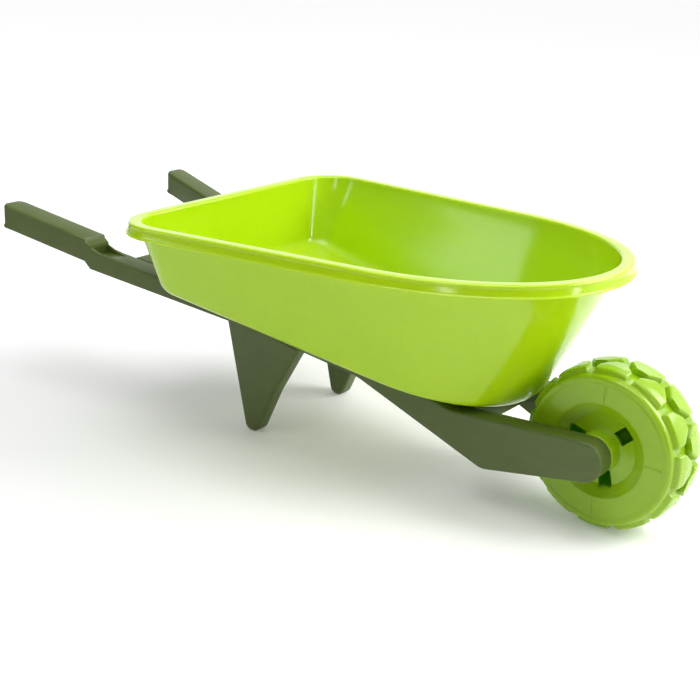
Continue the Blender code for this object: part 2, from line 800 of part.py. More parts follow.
def side_normal(x, side):
    """The plan direction square to a shaft's inner face at x, pointing into the shaft."""
    step = 0.002
    rise = (shaft_inner_y(x + step) - shaft_inner_y(x - step)) / (2 * step)
    return Vector((-rise, side, 0.0)).normalized()


def fit_side_screws(member, places, shaft, label, side, material):
    """Screws from inside a cross member through its wall into the shaft beside it."""
    for name, x, z in places:
        normal = side_normal(x, side)
        face = Vector((x, side * (shaft_inner_y(x) - GAP), z))
        seat = face - normal * PLATE_WALL * abs(normal.y)
        full_name = f"{name}_{label}"
        drill(full_name, seat, normal, (member, shaft))
        build_screw(full_name, seat, normal, material)


def fit_leg_screw(leg, shaft, label, side, material):
    """A screw through the shaft's inner wall into the leg's tenon."""
    start, end = leg_bay()
    x = mix(SHAFT_BEND_X, end, 0.4)
    z = (shaft_top_z(x) + shaft_bottom_z(x)) / 2
    normal = side_normal(x, side)
    seat = Vector((x, side * shaft_inner_y(x), z))
    drill(label + "_leg_screw", seat, normal, (shaft, leg))
    build_screw(label + "_leg_screw", seat, normal, material)


# Wheel

def wheel_profile():
    """(y, radius, tread share, lug width share) once round a half wheel's section, for the side towards -Y."""
    wall = WHEEL_WALL
    base = WHEEL_RADIUS - TREAD_DEPTH
    dish_y = WHEEL_HALF_WIDTH - DISH_DEPTH
    floor_radius = DISH_RADIUS - DISH_SLOPE
    half_gap = GAP / 2
    bore = AXLE_RADIUS + GAP
    return [
        (half_gap, base, 1.0, LUG_NOSE),
        (LUG_TAPER_Y, base, 1.0, 1.0),
        (CROWN_Y, base, 1.0, 1.0),
        (SHOULDER_Y, base, 1.0 - SHOULDER_DROP / TREAD_DEPTH, 0.98),
        (LUG_FOOT_Y, base, 0.0, 1.0),
        (BEAD_Y - 0.0010, base - 0.0004, 0.0, 1.0),
        (BEAD_Y + 0.0008, base - BEAD_DROP, 0.0, 1.0),
        (mix(BEAD_Y, WHEEL_HALF_WIDTH, 0.85), SIDEWALL_RADIUS + 0.0004, 0.0, 1.0),
        (WHEEL_HALF_WIDTH, SIDEWALL_RADIUS - 0.0030, 0.0, 1.0),
        (WHEEL_HALF_WIDTH, DISH_RADIUS + 0.0010, 0.0, 1.0),
        (WHEEL_HALF_WIDTH - 0.0014, DISH_RADIUS - 0.0012, 0.0, 1.0),
        (dish_y + 0.0008, floor_radius + 0.0010, 0.0, 1.0),
        (dish_y, floor_radius - 0.0012, 0.0, 1.0),
        (dish_y, HUB_RADIUS, 0.0, 1.0),
        (ARM_INNER_Y - HUB_PLAY - 0.0016, HUB_RADIUS, 0.0, 1.0),
        (ARM_INNER_Y - HUB_PLAY, HUB_RADIUS - 0.0018, 0.0, 1.0),
        (ARM_INNER_Y - HUB_PLAY, bore, 0.0, 1.0),
        (half_gap, bore, 0.0, 1.0),
        (half_gap, bore + 2 * wall, 0.0, 1.0),
        (dish_y - wall, bore + 2 * wall + 0.001, 0.0, 1.0),
        (dish_y - wall, floor_radius + 0.5 * wall, 0.0, 1.0),
        (WHEEL_HALF_WIDTH - wall, DISH_RADIUS + wall, 0.0, 1.0),
        (WHEEL_HALF_WIDTH - wall, SIDEWALL_RADIUS - 0.0045, 0.0, 1.0),
        (BEAD_Y - wall, base - BEAD_DROP - wall, 0.0, 1.0),
        (LUG_FOOT_Y - wall, base - wall, 0.0, 1.0),
        (half_gap, base - wall, 0.0, 1.0),
    ]


def wheel_ring(side, y, radius, share, width):
    """One closed ring of the half wheel: each lug stands TREAD_DEPTH * share above radius over width of its pitch."""
    pitch = FULL_TURN / LUGS
    first = -math.pi / 2 if side == RIGHT else -math.pi / 2 + pitch / 2
    half = 0.5 * LUG_FILL * pitch * width
    ring = []
    for i in range(LUGS):
        middle = first + i * pitch
        for offset, lug in ((-half, 0.0), (-0.90 * half, 1.0), (0.0, 1.0), (0.90 * half, 1.0), (half, 0.0)):
            reach = radius + TREAD_DEPTH * share * lug
            angle = middle + offset
            ring.append((AXLE_X + reach * math.cos(angle), side * y, AXLE_Z + reach * math.sin(angle)))
    return ring


def build_wheel_half(name, side, material):
    rings = [wheel_ring(side, *row) for row in wheel_profile()]
    half = make_object(name, loft(rings, wrap=True), material)
    smooth(half, 32)
    for i in range(SLOTS):
        angle = math.radians(SLOT_ANGLE) + i * FULL_TURN / SLOTS
        boolean(half, slot_cutter(f"{name}_slot_{i}", side, angle))
    return half


def slot_cutter(name, side, angle):
    """A radial slot through the dish floor between the hub and the dish's wall."""
    bm = bmesh.new()
    outer = DISH_RADIUS - DISH_SLOPE + 0.0012
    dish_y = WHEEL_HALF_WIDTH - DISH_DEPTH
    bmesh.ops.create_cube(bm, size=1.0)
    bmesh.ops.scale(bm, vec=(outer - SLOT_INNER, 2.4 * WHEEL_WALL, SLOT_WIDTH), verts=bm.verts)
    bmesh.ops.translate(bm, vec=((outer + SLOT_INNER) / 2, side * (dish_y - WHEEL_WALL / 2), 0.0), verts=bm.verts)
    bmesh.ops.rotate(bm, cent=(0, 0, 0), matrix=Matrix.Rotation(-angle, 3, "Y"), verts=bm.verts)
    bmesh.ops.translate(bm, vec=(AXLE_X, 0.0, AXLE_Z), verts=bm.verts)
    return make_object(name, bm)


def build_axle(material):
    half = ARM_INNER_Y + AXLE_SEAT - GAP
    axle = rod("axle", (AXLE_X, -half, AXLE_Z), (0, 1, 0), 2 * half, AXLE_RADIUS, 20, material)
    smooth(axle)
    return axle


def main():
    clear_scene()
    lime = plastic("lime_gloss", (0.36, 0.62, 0.02), 0.22)
    olive = plastic("olive_satin", (0.075, 0.105, 0.032), 0.48)
    steel = plastic("screw_steel", (0.62, 0.62, 0.60), 0.35, 1.0)
    wheel_lime = plastic("wheel_lime", (0.36, 0.62, 0.02), 0.30)
    axle_steel = plastic("axle_steel", (0.60, 0.60, 0.60), 0.30, 1.0)

    tray = build_tray(lime)
    plate, bar = build_cross_members(olive)
    fit_tray_screws(tray, plate, bar, steel)
    for label, side in (("right", RIGHT), ("left", LEFT)):
        shaft = build_shaft(label, side, olive)
        leg = build_leg(label, side, olive)
        plate_z = -0.55 * PLATE_DEPTH
        places = [
            (f"plate_screw_{row}", x, deck_z(x) + plate_z)
            for row, x in (("rear", PLATE_REAR_X + PLATE_SCREW_INSET), ("front", PLATE_FRONT_X - PLATE_SCREW_INSET))
        ]
        fit_side_screws(plate, places, shaft, label, side, steel)
        bar_x = (BAR_REAR_X + BAR_FRONT_X) / 2
        bar_z = shaft_top_z(bar_x) - 0.55 * INNER_WALL_DEPTH
        fit_side_screws(bar, [("bar_screw", bar_x, bar_z)], shaft, label, side, steel)
        fit_leg_screw(leg, shaft, label, side, steel)
    build_wheel_half("wheel_half_right", RIGHT, wheel_lime)
    build_wheel_half("wheel_half_left", LEFT, wheel_lime)
    build_axle(axle_steel)


main()
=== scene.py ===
"""Looks for a child's moulded wheelbarrow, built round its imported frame.

Metres, +X forwards to the wheel, +Y to the left-hand shaft, +Z up. The wheel and both feet stand on z = 0.
"""

import logging
import math
from dataclasses import dataclass, field
from enum import Enum
from typing import Any, Callable, Mapping, Sequence

import bmesh
import bpy
import numpy as np
from mathutils import Matrix, Vector


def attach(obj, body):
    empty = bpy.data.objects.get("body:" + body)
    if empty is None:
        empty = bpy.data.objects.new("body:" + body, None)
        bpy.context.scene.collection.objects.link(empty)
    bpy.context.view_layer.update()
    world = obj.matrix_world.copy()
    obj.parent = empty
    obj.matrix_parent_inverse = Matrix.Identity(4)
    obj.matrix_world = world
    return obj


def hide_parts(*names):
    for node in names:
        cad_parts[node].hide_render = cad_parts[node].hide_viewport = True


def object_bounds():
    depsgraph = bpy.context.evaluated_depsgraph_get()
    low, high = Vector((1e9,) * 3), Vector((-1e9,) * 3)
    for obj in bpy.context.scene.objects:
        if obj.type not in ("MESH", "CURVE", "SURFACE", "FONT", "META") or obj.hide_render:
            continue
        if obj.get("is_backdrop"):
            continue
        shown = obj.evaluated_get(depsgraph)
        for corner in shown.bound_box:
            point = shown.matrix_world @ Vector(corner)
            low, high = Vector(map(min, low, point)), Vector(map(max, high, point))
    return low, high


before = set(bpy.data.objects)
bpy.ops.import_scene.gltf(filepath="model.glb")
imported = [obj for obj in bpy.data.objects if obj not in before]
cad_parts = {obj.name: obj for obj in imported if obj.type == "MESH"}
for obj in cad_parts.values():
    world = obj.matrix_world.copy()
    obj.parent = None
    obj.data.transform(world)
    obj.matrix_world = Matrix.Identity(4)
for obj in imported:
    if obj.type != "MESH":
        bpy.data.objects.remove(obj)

LOG = logging.getLogger("wheelbarrow")
TURN = 2 * math.pi
# How far a rib sinks into the wall that it stands on.
BITE = 0.0004
UP = (0.0, 0.0, 1.0)
Point = tuple[float, float, float]
Ring = list[Point]
Colour = tuple[float, float, float]


class Body(str, Enum):
    """The bodies that pieces ride on."""

    CHASSIS = "chassis"
    WHEEL = "wheel"


class Side(Enum):
    """Right-hand or left-hand piece, with the sign of its Y."""

    RIGHT = -1
    LEFT = 1

    @property
    def label(self) -> str:
        """The word used in piece names."""
        return self.name.lower()


# --- Node building ---


class Sock:
    """An output socket, or a number, that takes part in sums by adding Math nodes."""

    def __init__(self, tree: "Tree", socket: Any) -> None:
        """Wraps one socket.

        Args:
            tree: The tree that new nodes go into.
            socket: A node's output socket.
        """
        self.tree = tree
        self.socket = socket

    def math(self, operation: str, *others: Any) -> "Sock":
        """Adds one Math node on this value and others."""
        values = (self, *others)
        return self.tree.node("ShaderNodeMath", {"operation": operation}, dict(enumerate(values)))

    def __add__(self, other: Any) -> "Sock":
        """self + other."""
        return self.math("ADD", other)

    __radd__ = __add__

    def __sub__(self, other: Any) -> "Sock":
        """self - other."""
        return self.math("SUBTRACT", other)

    def __rsub__(self, other: Any) -> "Sock":
        """other - self."""
        return self.tree.node("ShaderNodeMath", {"operation": "SUBTRACT"}, {0: other, 1: self})

    def __mul__(self, other: Any) -> "Sock":
        """self * other."""
        return self.math("MULTIPLY", other)

    __rmul__ = __mul__

    def __truediv__(self, other: Any) -> "Sock":
        """self / other."""
        return self.math("DIVIDE", other)

    def __abs__(self) -> "Sock":
        """The value without its sign."""
        return self.math("ABSOLUTE")

    def step(self, low: Any, high: Any) -> "Sock":
        """A smooth rise from 0 at low to 1 at high."""
        return self.tree.node(
            "ShaderNodeMapRange",
            {"interpolation_type": "SMOOTHSTEP"},
            {"Value": self, "From Min": low, "From Max": high},
        )


class Tree:
    """A node tree with one way to add a node."""

    def __init__(self, nodes: bpy.types.NodeTree) -> None:
        """Wraps a node tree.

        Args:
            nodes: The shader or geometry tree to fill.
        """
        self.nodes = nodes

    def node(
        self,
        kind: str,
        settings: Mapping[str, Any] | None = None,
        inputs: Mapping[Any, Any] | None = None,
        output: Any = 0,
    ) -> Sock:
        """Adds a node.

        Args:
            kind: The node's type name.
            settings: Values set on the node first; "stops" fills a colour ramp.
            inputs: Values or links by socket name or number.
            output: Name or number of the output that is returned.

        Returns:
            The output socket, ready for sums.
        """
        made = self.nodes.nodes.new(kind)
        for key, value in (settings or {}).items():
            if key == "stops":
                self._fill_ramp(made.color_ramp, value)
            else:
                setattr(made, key, value)
        for key, value in (inputs or {}).items():
            self.feed(made.inputs[key], value)
        return Sock(self, made.outputs[output] if len(made.outputs) else made.inputs[0])

    def feed(self, target: bpy.types.NodeSocket, value: Any) -> None:
        """Links or sets one input socket."""
        if isinstance(value, Sock):
            self.nodes.links.new(value.socket, target)
        else:
            target.default_value = value

    @staticmethod
    def _fill_ramp(ramp: bpy.types.ColorRamp, stops: Sequence[tuple[float, float]]) -> None:
        """Sets a ramp's stops to grey values."""
        while len(ramp.elements) < len(stops):
            ramp.elements.new(0.5)
        for element, (place, grey) in zip(ramp.elements, stops):
            element.position = place
            element.color = (grey, grey, grey, 1.0)

    def tint(self, factor: Any, first: Any, second: Any) -> Sock:
        """Mixes two colours by a factor."""
        if isinstance(first, tuple):
            first = (*first, 1.0)[:4]
        if isinstance(second, tuple):
            second = (*second, 1.0)[:4]
        return self.node("ShaderNodeMix", {"data_type": "RGBA"}, {0: factor, 6: first, 7: second}, 2)

    def noise(self, place: Sock, scale: float, detail: float = 2.0, rough: float = 0.5) -> Sock:
        """A noise value over a place."""
        return self.node(
            "ShaderNodeTexNoise",
            {"normalize": True},
            {"Vector": place, "Scale": scale, "Detail": detail, "Roughness": rough},
            0,
        )

    def stretched(self, place: Sock, scale: Point) -> Sock:
        """A place scaled along each axis."""
        return self.node("ShaderNodeMapping", None, {"Vector": place, "Scale": scale})


# --- Finishes ---


@dataclass(frozen=True)
class Finish:
    """What every finish shares: a name, a colour and a roughness."""

    name: str
    colour: Colour
    roughness: float

    def start(self) -> tuple[bpy.types.Material, Tree, bpy.types.Node, Sock]:
        """Makes the material.

        Returns:
            The material, its tree, its shader node and the object coordinates.
        """
        material = bpy.data.materials.new(self.name)
        material.use_nodes = True
        tree = Tree(material.node_tree)
        shader = material.node_tree.nodes["Principled BSDF"]
        place = tree.node("ShaderNodeTexCoord", None, None, "Object")
        material.diffuse_color = (*self.colour, 1.0)
        return material, tree, shader, place


@dataclass(frozen=True)
class GlossPlastic(Finish):
    """Injection-moulded glossy plastic: clouded pigment, flow streaks, fine peel and faint scuffs; when a hollow is
    given, also a painted green glow inside the wheel.
    """

    deep: Colour = (0.2, 0.4, 0.0)
    pale: Colour = (0.5, 0.8, 0.1)
    cloud: float = 0.5
    peel: float = 0.00003
    peel_scale: float = 260.0
    scuff: float = 0.10
    coat: float = 0.1
    glow: float = 0.5
    depth: float = 0.006
    # hollow: the wheel's axle place (x, z) that the painted glow is drawn round; None leaves the painted glow out.
    hollow: tuple[float, float] | None = None
    hollow_inner: float = 0.0118
    hollow_outer: float = 0.0700
    hollow_half: float = 0.0176
    # through: the colour of the painted glow, an emission with no lamp behind it.
    through: Colour = (0.008, 0.085, 0.001)

    def build(self) -> bpy.types.Material:
        """Makes the material.

        Returns:
            The finished material.
        """
        material, tree, shader, place = self.start()
        shader.inputs["Subsurface Weight"].default_value = self.glow
        shader.inputs["Subsurface Radius"].default_value = (1.25, 1.25, 0.12)
        shader.inputs["Subsurface Scale"].default_value = self.depth
        cloud = tree.noise(place, 7.0, 3.0, 0.55).step(0.34, 0.70)
        streaks = tree.noise(tree.stretched(place, (9.0, 60.0, 60.0)), 1.0, 3.0, 0.6).step(0.42, 0.74)
        specks = tree.noise(place, 900.0, 1.0).step(0.66, 0.80)
        body = tree.tint(cloud * self.cloud, self.colour, self.deep)
        body = tree.tint(streaks * (0.30 * self.cloud), body, self.pale)
        body = tree.tint(specks * 0.05, body, self.deep)
        tree.feed(shader.inputs["Base Color"], body)
        normal = tree.node("ShaderNodeNewGeometry", None, None, "Normal")
        up = tree.node("ShaderNodeSeparateXYZ", None, {0: normal}, "Z")
        dust = up.step(0.55, 1.0) * tree.noise(place, 24.0, 4.0, 0.65).step(0.45, 0.75)
        hairs = tree.noise(tree.stretched(place, (35.0, 900.0, 500.0)), 1.0, 2.0, 0.4).step(0.60, 0.70)
        rubs = hairs * tree.noise(place, 16.0, 2.0).step(0.50, 0.68)
        rough = tree.noise(place, 38.0, 3.0) * 0.05 + (self.roughness - 0.025)
        tree.feed(shader.inputs["Roughness"], rough + dust * 0.06 + rubs * self.scuff)
        peel = tree.noise(place, self.peel_scale, 2.0, 0.5)
        sink = tree.noise(place, 22.0, 1.0, 0.4)
        # Paints the emitted green glow inside the wheel when an axle place is given.
        if self.hollow is not None:
            self.light_hollow(tree, shader, place)
        height = peel * self.peel + sink * (self.peel * 4.0) - rubs * 0.000006
        bump = tree.node("ShaderNodeBump", None, {"Strength": 0.6, "Distance": 1.0, "Height": height})
        tree.feed(shader.inputs["Normal"], bump)
        shader.inputs["IOR"].default_value = 1.49
        shader.inputs["Coat Weight"].default_value = self.coat
        shader.inputs["Coat Roughness"].default_value = 0.12
        return material

    def light_hollow(self, tree: Tree, shader: bpy.types.Node, place: Sock) -> None:
        """Paints a faint green glow, as emission, inside a hollow wheel, standing in for the light that would come
        through its walls.

        Args:
            tree: The material's tree.
            shader: Its shader node.
            place: The object coordinates.
        """
        x, y, z = (tree.node("ShaderNodeSeparateXYZ", None, {0: place}, axis) for axis in "XYZ")
        across, rise = x - self.hollow[0], z - self.hollow[1]
        radius = (across * across + rise * rise).math("SQRT")
        below_tread = 1 - radius.step(self.hollow_outer, self.hollow_outer + 0.0012)
        past_hub = radius.step(self.hollow_inner, self.hollow_inner + 0.0004)
        between_sides = 1 - abs(y).step(self.hollow_half, self.hollow_half + 0.0004)
        # Mask of the painted glow: inside the wheel's cavity, between the hub and the tread and between the sides.
        painted_glow_mask = below_tread * past_hub * between_sides
        tree.feed(shader.inputs["Emission Color"], tree.tint(painted_glow_mask, (0.0, 0.0, 0.0), self.through))
        shader.inputs["Emission Strength"].default_value = 1.0


@dataclass(frozen=True)
class GrainPlastic(Finish):
    """Satin plastic with a spark-eroded grain, a mottled tone and pale rubbed spots."""

    pale: Colour = (0.2, 0.25, 0.12)
    dark: Colour = (0.03, 0.04, 0.015)
    grain: float = 0.00005
    grain_scale: float = 1300.0

    def build(self) -> bpy.types.Material:
        """Makes the material.

        Returns:
            The finished material.
        """
        material, tree, shader, place = self.start()
        mottle = tree.noise(place, 26.0, 4.0, 0.6).step(0.30, 0.72)
        grains = tree.noise(place, self.grain_scale, 2.0, 0.6)
        streaks = tree.noise(tree.stretched(place, (14.0, 90.0, 90.0)), 1.0, 2.0).step(0.46, 0.74)
        rubs = tree.noise(tree.stretched(place, (60.0, 240.0, 240.0)), 1.0, 3.0).step(0.62, 0.74)
        body = tree.tint(mottle * 0.30, self.colour, self.dark)
        body = tree.tint(streaks * 0.10, body, self.pale)
        body = tree.tint(grains.step(0.50, 0.75) * 0.16, body, self.pale)
        body = tree.tint(rubs * 0.14, body, self.pale)
        tree.feed(shader.inputs["Base Color"], body)
        rough = tree.noise(place, 60.0, 3.0) * 0.10 + (self.roughness - 0.05)
        tree.feed(shader.inputs["Roughness"], rough - rubs * 0.06 + grains * 0.04)
        height = grains * self.grain + tree.noise(place, 30.0, 1.0) * 0.00012
        bump = tree.node("ShaderNodeBump", None, {"Strength": 0.7, "Distance": 1.0, "Height": height})
        tree.feed(shader.inputs["Normal"], bump)
        shader.inputs["IOR"].default_value = 1.49
        return material


@dataclass(frozen=True)
class PlatedSteel(Finish):
    """Zinc-plated steel with fine turning lines and a clouded plating."""

    dull: Colour = (0.4, 0.4, 0.38)

    def build(self) -> bpy.types.Material:
        """Makes the material.

        Returns:
            The finished material.
        """
        material, tree, shader, place = self.start()
        cloud = tree.noise(place, 300.0, 4.0, 0.6).step(0.35, 0.70)
        lines = tree.noise(tree.stretched(place, (2600.0, 300.0, 2600.0)), 1.0, 1.0)
        tree.feed(shader.inputs["Base Color"], tree.tint(cloud * 0.5, self.colour, self.dull))
        tree.feed(shader.inputs["Roughness"], cloud * 0.12 + self.roughness)
        bump = tree.node("ShaderNodeBump", None, {"Strength": 0.5, "Distance": 1.0, "Height": lines * 0.00002})
        tree.feed(shader.inputs["Normal"], bump)
        shader.inputs["Metallic"].default_value = 1.0
        return material


@dataclass(frozen=True)
class PaleFloor(Finish):
    """A plain pale studio floor."""

    def build(self) -> bpy.types.Material:
        """Makes the material.

        Returns:
            The finished material.
        """
        material, tree, shader, place = self.start()
        cloud = tree.noise(place, 3.0, 2.0)
        shaded = tuple(0.97 * c for c in self.colour)
        tree.feed(shader.inputs["Base Color"], tree.tint(cloud * 0.3, self.colour, shaded))
        shader.inputs["Roughness"].default_value = self.roughness
        back = tree.node("ShaderNodeSeparateXYZ", None, {0: place}, "Y").step(-0.6, 1.2)
        glow = back * 0.50 + 0.02
        tree.feed(shader.inputs["Emission Color"], tree.tint(glow, (0.0, 0.0, 0.0), (1.0, 1.0, 1.0)))
        shader.inputs["Emission Strength"].default_value = 1.0
        return material


@dataclass
class Finishes:
    """Every finish of the barrow, made once."""

    lime: bpy.types.Material = field(init=False)
    wheel_lime: bpy.types.Material = field(init=False)
    olive: bpy.types.Material = field(init=False)
    zinc: bpy.types.Material = field(init=False)
    rod: bpy.types.Material = field(init=False)

    def __post_init__(self) -> None:
        """Builds the materials."""
        self.lime = GlossPlastic(
            "lime_gloss", (0.415, 0.615, 0.004), 0.16, deep=(0.375, 0.575, 0.002), pale=(0.46, 0.66, 0.012)
        ).build()
        self.wheel_lime = GlossPlastic(
            "wheel_lime_satin",
            (0.275, 0.465, 0.003),
            0.25,
            deep=(0.235, 0.420, 0.002),
            pale=(0.32, 0.51, 0.010),
            glow=0.2,
            depth=0.003,
            # Axle place of the painted green glow inside the wheel.
            hollow=(0.3124, 0.0785),
        ).build()
        self.olive = GrainPlastic(
            "olive_grain", (0.074, 0.108, 0.016), 0.38, pale=(0.15, 0.19, 0.06), dark=(0.052, 0.078, 0.010)
        ).build()
        self.zinc = PlatedSteel("zinc_plate", (0.66, 0.66, 0.63), 0.28, dull=(0.45, 0.45, 0.42)).build()
        self.rod = PlatedSteel("axle_rod", (0.58, 0.58, 0.58), 0.24, dull=(0.40, 0.40, 0.40)).build()


# --- Mesh building ---


def mix(a: float, b: float, t: float) -> float:
    """The value a share t of the way from a to b."""
    return a + (b - a) * t


def through(x: float, points: Sequence[tuple[float, float]]) -> float:
    """The height at x of a line through (x, height) points."""
    for (x0, z0), (x1, z1) in zip(points, points[1:]):
        if x <= x1:
            return mix(z0, z1, (x - x0) / (x1 - x0))
    return points[-1][1]


def arc(centre: tuple[float, float], radius: float, start: float, end: float, count: int) -> list[tuple[float, float]]:
    """Points on an arc.

    Args:
        centre: The arc's centre.
        radius: Its radius.
        start: First angle in degrees.
        end: Last angle in degrees.
        count: How many points.

    Returns:
        The points, both ends included.
    """
    found = []
    for i in range(count):
        angle = math.radians(mix(start, end, i / (count - 1)))
        found.append((centre[0] + radius * math.cos(angle), centre[1] + radius * math.sin(angle)))
    return found


def circle(radius: float, height: float, count: int) -> Ring:
    """A level ring of points round the Z axis."""
    return [(radius * math.cos(TURN * i / count), radius * math.sin(TURN * i / count), height) for i in range(count)]


def unit_box(name: str, bevel: float) -> bpy.types.Object:
    """A box one metre each way, to be stretched to size where it is repeated."""
    return make_object(name, box_shell((-0.5, -0.5, -0.5), (0.5, 0.5, 0.5), bevel), None)


def loft(rings: Sequence[Sequence[Any]], wrap: bool = False) -> bmesh.types.BMesh:
    """Joins closed rings of points into one closed shell.

    Args:
        rings: Rings with the same number of points.
        wrap: Joins the last ring to the first instead of capping both.

    Returns:
        The shell, its faces pointing outwards.
    """
    bm = bmesh.new()
    rows = [[bm.verts.new(point) for point in ring] for ring in rings]
    pairs = list(zip(rows, rows[1:])) + ([(rows[-1], rows[0])] if wrap else [])
    for low, high in pairs:
        for i, vert in enumerate(low):
            after = (i + 1) % len(low)
            bm.faces.new((vert, low[after], high[after], high[i]))
    if not wrap:
        bm.faces.new(rows[0])
        bm.faces.new(rows[-1])
    bmesh.ops.recalc_face_normals(bm, faces=bm.faces)
    return bm


def make_object(
    name: str, bm: bmesh.types.BMesh, material: bpy.types.Material | None, sharp: float = 40.0
) -> bpy.types.Object:
    """Turns a shell into a smooth-shaded object.

    Args:
        name: The object's name.
        bm: The shell, which is freed.
        material: Its material, if it is shown.
        sharp: Edges that turn by more degrees than this stay crisp.

    Returns:
        The object, linked to the scene.
    """
    mesh = bpy.data.meshes.new(name)
    bm.to_mesh(mesh)
    bm.free()
    shade(mesh, sharp)
    if material is not None:
        mesh.materials.append(material)
    obj = bpy.data.objects.new(name, mesh)
    bpy.context.scene.collection.objects.link(obj)
    return obj


def shade(mesh: bpy.types.Mesh, sharp: float) -> None:
    """Shades a mesh smooth, with crisp edges past an angle in degrees."""
    mesh.shade_smooth()
    mesh.set_sharp_from_angle(angle=math.radians(sharp))


def joined(name: str, shells: Sequence[bmesh.types.BMesh]) -> bpy.types.Object:
    """Puts several shells in one unshown object."""
    whole = bmesh.new()
    for shell in shells:
        part = bpy.data.meshes.new(name)
        shell.to_mesh(part)
        shell.free()
        whole.from_mesh(part)
        bpy.data.meshes.remove(part)
    return make_object(name, whole, None)


def bake(obj: bpy.types.Object, sharp: float = 40.0) -> bpy.types.Object:
    """Replaces an object's mesh with what its modifiers make, and removes them."""
    graph = bpy.context.evaluated_depsgraph_get()
    mesh = bpy.data.meshes.new_from_object(obj.evaluated_get(graph))
    obj.modifiers.clear()
    old = obj.data
    obj.data = mesh
    bpy.data.meshes.remove(old)
    shade(mesh, sharp)
    return obj


def cut(obj: bpy.types.Object, tools: bpy.types.Object, sharp: float = 40.0) -> bpy.types.Object:
    """Cuts the tools' shells from an object and deletes the tools."""
    modifier = obj.modifiers.new("cut", "BOOLEAN")
    modifier.operation = "DIFFERENCE"
    modifier.solver = "EXACT"
    modifier.object = tools
    bake(obj, sharp)
    bpy.data.objects.remove(tools)
    return obj


def fuse(obj: bpy.types.Object, others: Sequence[bpy.types.Object]) -> bpy.types.Object:
    """Adds other objects' meshes to an object as they are, and deletes them."""
    whole = bmesh.new()
    for part in (obj, *others):
        whole.from_mesh(part.data)
    whole.to_mesh(obj.data)
    whole.free()
    for other in others:
        bpy.data.objects.remove(other)
    return obj


def box_shell(low: Point, high: Point, bevel: float = 0.0, around: Matrix | None = None) -> bmesh.types.BMesh:
    """A box with optional rounded edges.

    Args:
        low: Its lowest corner.
        high: Its highest corner.
        bevel: Edge radius.
        around: A matrix applied last.

    Returns:
        The shell.
    """
    bm = bmesh.new()
    bmesh.ops.create_cube(bm, size=1.0)
    size = [b - a for a, b in zip(low, high)]
    bmesh.ops.scale(bm, vec=size, verts=bm.verts)
    bmesh.ops.translate(bm, vec=[(a + b) / 2 for a, b in zip(low, high)], verts=bm.verts)
    if bevel:
        bmesh.ops.bevel(bm, geom=bm.edges[:], offset=bevel, segments=2, profile=0.5, affect="EDGES")
    if around is not None:
        bmesh.ops.transform(bm, matrix=around, verts=bm.verts)
    bmesh.ops.recalc_face_normals(bm, faces=bm.faces)
    return bm


# --- Geometry Nodes ---


class GeometryTree(Tree):
    """A geometry tree with named inputs that turns a mesh into a plain mesh."""

    def __init__(self, name: str, inputs: Mapping[str, str]) -> None:
        """Makes the tree's interface.

        Args:
            name: The tree's name.
            inputs: Socket type by input name.
        """
        group = bpy.data.node_groups.new(name, "GeometryNodeTree")
        super().__init__(group)
        group.interface.new_socket("Geometry", in_out="INPUT", socket_type="NodeSocketGeometry")
        group.interface.new_socket("Geometry", in_out="OUTPUT", socket_type="NodeSocketGeometry")
        for label, kind in inputs.items():
            group.interface.new_socket(label, in_out="INPUT", socket_type=kind)
        self.entry = group.nodes.new("NodeGroupInput")

    def given(self, label: str) -> Sock:
        """The named input's value."""
        return Sock(self, self.entry.outputs[label])

    def named(self, label: str, kind: str) -> Sock:
        """An attribute stored on the mesh."""
        return self.node("GeometryNodeInputNamedAttribute", {"data_type": kind}, {"Name": label}, "Attribute")

    def close(self, geometry: Sock) -> None:
        """Ends the tree in Realize Instances and Set Material."""
        real = self.node("GeometryNodeRealizeInstances", None, {"Geometry": geometry})
        dressed = self.node("GeometryNodeSetMaterial", None, {"Geometry": real, "Material": self.given("Material")})
        self.node("NodeGroupOutput", None, {"Geometry": dressed})

    def run(self, obj: bpy.types.Object, values: Mapping[str, Any], sharp: float = 40.0) -> bpy.types.Object:
        """Runs the tree on an object and keeps the plain mesh.

        Args:
            obj: The object whose mesh goes in.
            values: Input values by name.
            sharp: Crisp-edge angle of the result in degrees.

        Returns:
            The same object with its new mesh.
        """
        modifier = obj.modifiers.new(self.nodes.name, "NODES")
        modifier.node_group = self.nodes
        for item in self.nodes.interface.items_tree:
            if item.in_out == "INPUT" and item.name in values:
                modifier[item.identifier] = values[item.name]
        return bake(obj, sharp)


